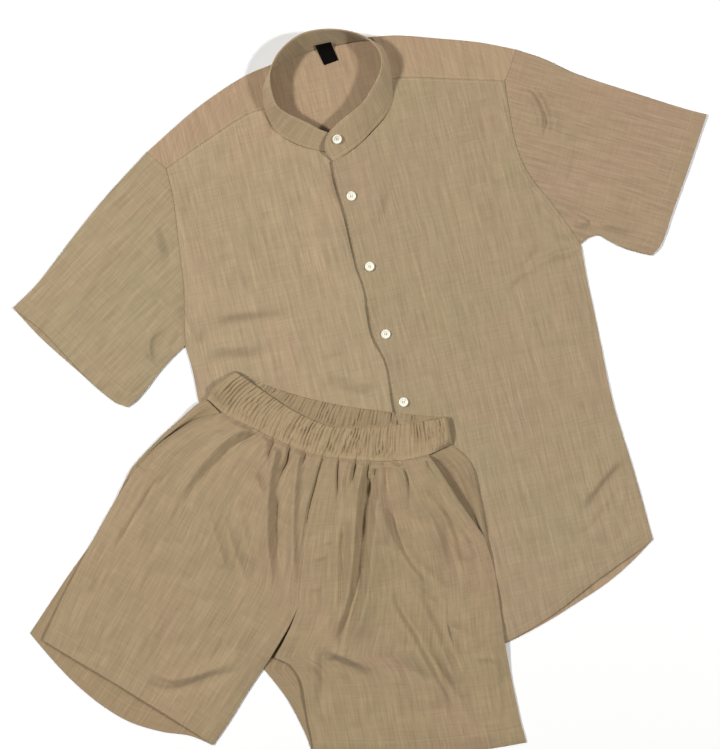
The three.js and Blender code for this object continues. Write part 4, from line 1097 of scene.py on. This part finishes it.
# Sharp creases, mostly where the gathers meet the waistband, in rows of line, width and depth.
shorts_creases = [
    ([[-89, 27], [-97, 16], [-104, 10], [-118, 0], [-132, -12]], 1.8, 4.4),
    ([[-74, 20], [-78, 8], [-80, -12], [-80, -34]], 2.0, 5.6),
    ([[-52, 17], [-56, 4], [-56, -14], [-61, -30], [-61, -60]], 2.2, 6.5),
    ([[-61, -56], [-58, -90], [-50, -130], [-34, -176]], 3.0, 4.6),
    ([[-30, 14], [-35, 2], [-37, -10], [-43, -24]], 1.9, 5.6),
    ([[-7, 11], [-12, 0], [-16, -30], [-20, -80], [-18, -140]], 1.7, 5.0),
    ([[11, 9], [8, 0], [9, -20], [14, -50], [19, -76]], 1.7, 5.0),
    ([[35, 10], [30, 1], [29, -12], [29, -28], [25, -42]], 1.8, 5.2),
    ([[50, 11], [47, 0], [46, -20], [47, -44]], 1.8, 4.2),
    ([[70, 12], [80, 5], [90, 0], [97, -14], [104, -40], [112, -64]], 1.8, 5.0),
    ([[62, 2], [70, 2], [80, 5]], 1.6, 2.8),
    ([[116, 16], [124, 2], [134, -6]], 1.6, 2.8),
]
FOOT_HEIGHT = 4.4
pocket_rings = [
    outline((sides[0], 2), (sides[1], 8), (reversed_line(sides[3]), 8))
    for sides in (pocket_sides_left, pocket_sides_right)]


def gathered(travel):
    """Uneven gathers along the foot of the waistband, from about -1.8 to 1.8."""
    return np.sin(travel / 2.1 + 1.7 * np.sin(travel / 9.0)) + 0.8 * np.sin(travel / 4.7 + 2.0)


def crease_depth(creases, u, v):
    """Depth of sharp creases, deepest just after their start and fading toward their end."""
    depth = np.zeros(np.shape(u))
    for path, half, drop in creases:
        crease = line(path)
        far, travel = beside([(crease, 14)], u, v)
        along = travel / np.hypot(*np.diff(crease(np.linspace(0, 1, 15)), axis=0).T).sum()
        fade = smooth(0, 0.12, along) * smooth(1, 0.35, along)
        depth += drop * fade * np.exp(-((far / half) ** 2))
    return depth


def shorts_height(u, v, s, w):
    """Middle of the shorts' upper layer, with its gathers, folds and turned edges."""
    edge = np.maximum(inside(shorts_outline, u, v), 0)
    puff = SHORTS_PUFF * (1 - np.exp(-edge / SHORTS_PUFF_REACH))
    over_left, over_right = [smooth(-24, -3, inside(ring, u, v)) for ring in pocket_rings]
    beneath = shorts_rest(u, v) + (LAYER + POCKET_CLEAR) * np.maximum(over_left, over_right)
    near_hem = distance_to([(hem_front_leg_left, 16), (hem_leg_right, 16)], u, v)
    to_band, travel = beside([(band_foot, 40)], u, v)
    to_band = np.abs(to_band)
    height = puff + 3.2 * np.exp(-((to_band - 30) / 60) ** 2) * smooth(0, 30, edge)
    height += SHORTS_FOLD_SCALE * fold_height(shorts_folds, u, v) * smooth(0, 25, near_hem)
    height += (0.9 * ripple(u, v, 44, 11) + 0.5 * ripple(u, v, 18, 12)) * smooth(0, 25, edge)
    wrinkles = 2.2 * np.abs(ripple(u, v, 40, 51)) + 1.1 * np.abs(ripple(1.4 * u, v, 19, 52))
    height += wrinkles * smooth(0, 20, edge)
    height += 0.4 * ripple(u, v, 9, 13) * np.exp(-near_hem / 10)
    at_foot = np.exp(-(to_band / 3.5) ** 2)
    foot = FOOT_HEIGHT + 0.5 * gathered(travel)
    height += 0.9 * gathered(travel) * np.exp(-to_band / 14)
    height -= edge_drop(distance_to([(centre_lower, 6), (centre_upper, 12)], u, v))
    to_pocket, travel = beside([(pocket_edge_left, 12), (pocket_edge_right, 12)], u, v)
    opening = np.sin(math.pi * np.clip(travel / 140, 0, 1)) ** 0.8
    height += POCKET_EDGE_LIFT * np.exp(-np.abs(to_pocket) / 6) * opening
    height -= edge_drop(edge, 0.7)
    height = height * (1 - at_foot) + (foot - LAYER - CLOTH / 2) * at_foot
    height -= crease_depth(shorts_creases, u, v)
    lowest = 0.25 - 1.0 * np.exp(-np.minimum(edge, near_hem) / 2)
    return beneath + LAYER + CLOTH / 2 + above_layer(height, lowest)


leg_rows = joined_steps((0.3, 130, 2.5), (0.2, 85, 2.4), (0.5, 200, 2.0))
shorts_left = shorts_piece(
    "shorts_front_left_cloth", "shorts_front_left",
    panel_plan(hem_front_leg_left, joined((inseam_left, 0.3), (centre_lower, 0.5), (centre_upper, 1)),
               panel_top_left, joined((seam_left, 0.3), (side_front_left, 0.58), (pocket_edge_left, 1))),
    steps(255, 2.2), leg_rows, shorts_height,
    [(aside(hem_front_leg_left, SHORTS_HEM), 20), (aside(pocket_edge_left, -3), 14),
     (aside(centre_upper, 3), 14)],
    (0.255, 0.4), (168, 147, 114), (171, 145, 115))
shorts_right = shorts_piece(
    "shorts_front_right_cloth", "shorts_front_right",
    panel_plan(hem_leg_right, joined((side_front_right, 0.6), (pocket_edge_right, 1)), panel_top_right,
               joined((inseam_front_right, 0.3), (centre_lower_right, 0.5), (centre_upper, 1))),
    steps(255, 2.2), leg_rows, shorts_height,
    [(aside(hem_leg_right, SHORTS_HEM), 20), (aside(pocket_edge_right, 3), 14)],
    (0.255, 0.4), (166, 146, 112), (169, 143, 114))

# Waistband. A casing of the same cloth with elastic inside, gathered into fine uneven ribs all
# round; the front half lies over the back half, whose top edge shows past it.
BACK_BAND_WALL = 1.8
BAND_LENGTH = 315
BAND_HEIGHT = 40
RIB_RISE = 3.2
RIB_COUNT = 62
BAND_FOLD = 6
LEFT_END = {"rise": 11.0, "reach": 22}
RIGHT_END = {"rise": 7.0, "reach": 18}
band_top_back = line([[-139, 90], [-98, 78], [-60, 71], [-4, 67], [51, 68], [100, 70], [135, 74]])
band_end_left = line([[-169, 48], [-163, 63], [-151, 79], [-139, 89]])
band_end_right = line([[146, 40], [141, 57], [135, 73.5]])


def rib(s, w, seed):
    """Gathers of the band; they wander, fork and change strength from foot to top."""
    wander = 0.009 * ripple(24 * s, 2.4 * w, 1, seed) + 0.004 * np.sin(9 * math.pi * s)
    strength = 0.8 + 0.5 * ripple(46 * s, 3.2 * w, 1, seed + 1)
    wave = 0.5 + 0.5 * np.cos(2 * math.pi * RIB_COUNT * (s + wander))
    fine = 0.5 + 0.5 * np.cos(2 * math.pi * 1.6 * RIB_COUNT * (s - 0.6 * wander) + 6 * w)
    crumple = ripple(96 * s, 6 * w, 1, seed + 2)
    at_ends = smooth(0, 0.03, s) * smooth(1, 0.97, s)
    return RIB_RISE * strength * at_ends * (0.66 * wave + 0.2 * fine + 0.24 * crumple)


def rounded_end(distance, rise, reach):
    """Height of the band where it folds over at an end, standing clear of what it lies on."""
    turning = np.sqrt(np.clip(1 - (1 - np.minimum(distance, BAND_FOLD) / BAND_FOLD) ** 2, 0, 1))
    return rise * turning * np.exp(-((np.maximum(distance, BAND_FOLD) - BAND_FOLD) / reach) ** 2)


def band_front_height(u, v, s, w):
    """Middle of the front half, with its ribs, a sewn channel, both ends and the gathered foot."""
    rounded = np.exp(-w * BAND_HEIGHT / 1.8) + 0.8 * np.exp(-(1 - w) * BAND_HEIGHT / 1.8)
    gathers = rib(s, w, 21) * (0.7 + 0.3 * smooth(0.08, 0.3, w))
    channel = 0.5 * np.exp(-(((w - 0.16) * BAND_HEIGHT / 1.6) ** 2))
    to_foot, travel = beside([(band_foot, 40)], u, v)
    at_foot = np.exp(-(to_foot / 3.5) ** 2)
    height = BACK_BAND_WALL + SEAM + 1.2 + gathers - rounded - channel
    height += rounded_end(BAND_LENGTH * s, **LEFT_END) * smooth(0, 0.5, w)
    height += rounded_end(BAND_LENGTH * (1 - s), **RIGHT_END)
    height = height * (1 - at_foot) + (FOOT_HEIGHT + 0.5 * gathered(travel)) * at_foot
    height = np.maximum(height - crease_depth(shorts_creases, u, v), BACK_BAND_WALL + SEAM + 0.4)
    return shorts_rest(u, v) + height


def band_back_height(u, v, s, w):
    """Middle of the back half; its ribs start where it shows past the front half's top edge."""
    rounded = 0.6 * np.exp(-(1 - w) * BAND_HEIGHT / 1.8)
    past_front, travel = beside([(band_top_front, 30)], u, v)
    return shorts_rest(u, v) + 0.9 + 0.9 * rib(s, w, 31) * smooth(0.5, 6, past_front) - rounded


band_front = shorts_piece(
    "waistband_front_cloth", "waistband_front",
    panel_plan(band_foot, band_end_right, band_top_front, band_end_left),
    np.linspace(0, 1, 601), np.linspace(0, 1, 31), band_front_height, [(aside(band_top_front, -60), 10)],
    (0.5, 0.045), (172, 150, 115), (174, 149, 117))
# The back half is given darker than the front half of the same cloth: painted shade where it shows past the
# front half's top edge.
band_back = shorts_piece(
    "waistband_back_cloth", "waistband_back",
    panel_plan(band_foot, band_end_right, band_top_back, band_end_left),
    np.linspace(0, 1, 361), np.linspace(0, 1, 31), band_back_height, [(aside(band_top_back, -90), 10)],
    (0.5, 0.045), (162, 141, 108), (164, 140, 109))

# Stage. A plain white table top, two strong side lamps, a weak one beyond the collar and an even
# white room; the camera looks straight down from above the middle of the picture. All in metres.
TABLE_HALF = 6
TABLE_LEVEL = -0.0003
VIEW_MIDDLE = 0.0248
LAMP_AIM = (0, 0.05, 0)
CAMERA_HEIGHT = 2.6
FRAME_HEIGHT = 0.9512
table_corners = [
    (TABLE_HALF * x, TABLE_HALF * y, TABLE_LEVEL) for x, y in ((-1, -1), (1, -1), (1, 1), (-1, 1))]
floor_mesh = bpy.data.meshes.new("floor")
floor_mesh.from_pydata(table_corners, [], [(0, 1, 2, 3)])
floor_mesh.materials.append(plain_material("white table", (0.87, 0.87, 0.865, 1), 0.8))
floor = bpy.data.objects.new("floor", floor_mesh)
bpy.context.scene.collection.objects.link(floor)


def lamp(name, place, power, size):
    """A square lamp that faces the set; its place and size are in metres, its power in watts."""
    light = bpy.data.lights.new(name, "AREA")
    light.energy = power
    light.size = size
    holder = bpy.data.objects.new(name, light)
    holder.location = place
    direction = np.array(place) - np.array(LAMP_AIM)
    across = math.hypot(direction[0], direction[1])
    holder.rotation_euler = (math.atan2(across, direction[2]), 0, math.atan2(direction[0], -direction[1]))
    bpy.context.scene.collection.objects.link(holder)


lamp("left lamp", (-2.8, 0.5, 2.9), 136, 0.4)
lamp("right lamp", (2.8, 0.3, 2.9), 102, 0.4)
lamp("top lamp", (-0.4, 3.2, 2.0), 14, 2.0)
world = bpy.data.worlds.new("white room")
world.use_nodes = True
world.node_tree.nodes["Background"].inputs["Color"].default_value = (1.0, 1.0, 1.0, 1.0)
world.node_tree.nodes["Background"].inputs["Strength"].default_value = 0.11
bpy.context.scene.world = world
bpy.context.scene.view_settings.view_transform = "Standard"

camera_data = bpy.data.cameras.new("camera")
camera_data.sensor_width = 36
camera_data.lens = 36 * CAMERA_HEIGHT / FRAME_HEIGHT
camera = bpy.data.objects.new("camera", camera_data)
camera.location = (0, VIEW_MIDDLE, CAMERA_HEIGHT)
bpy.context.scene.collection.objects.link(camera)
bpy.context.scene.camera = camera
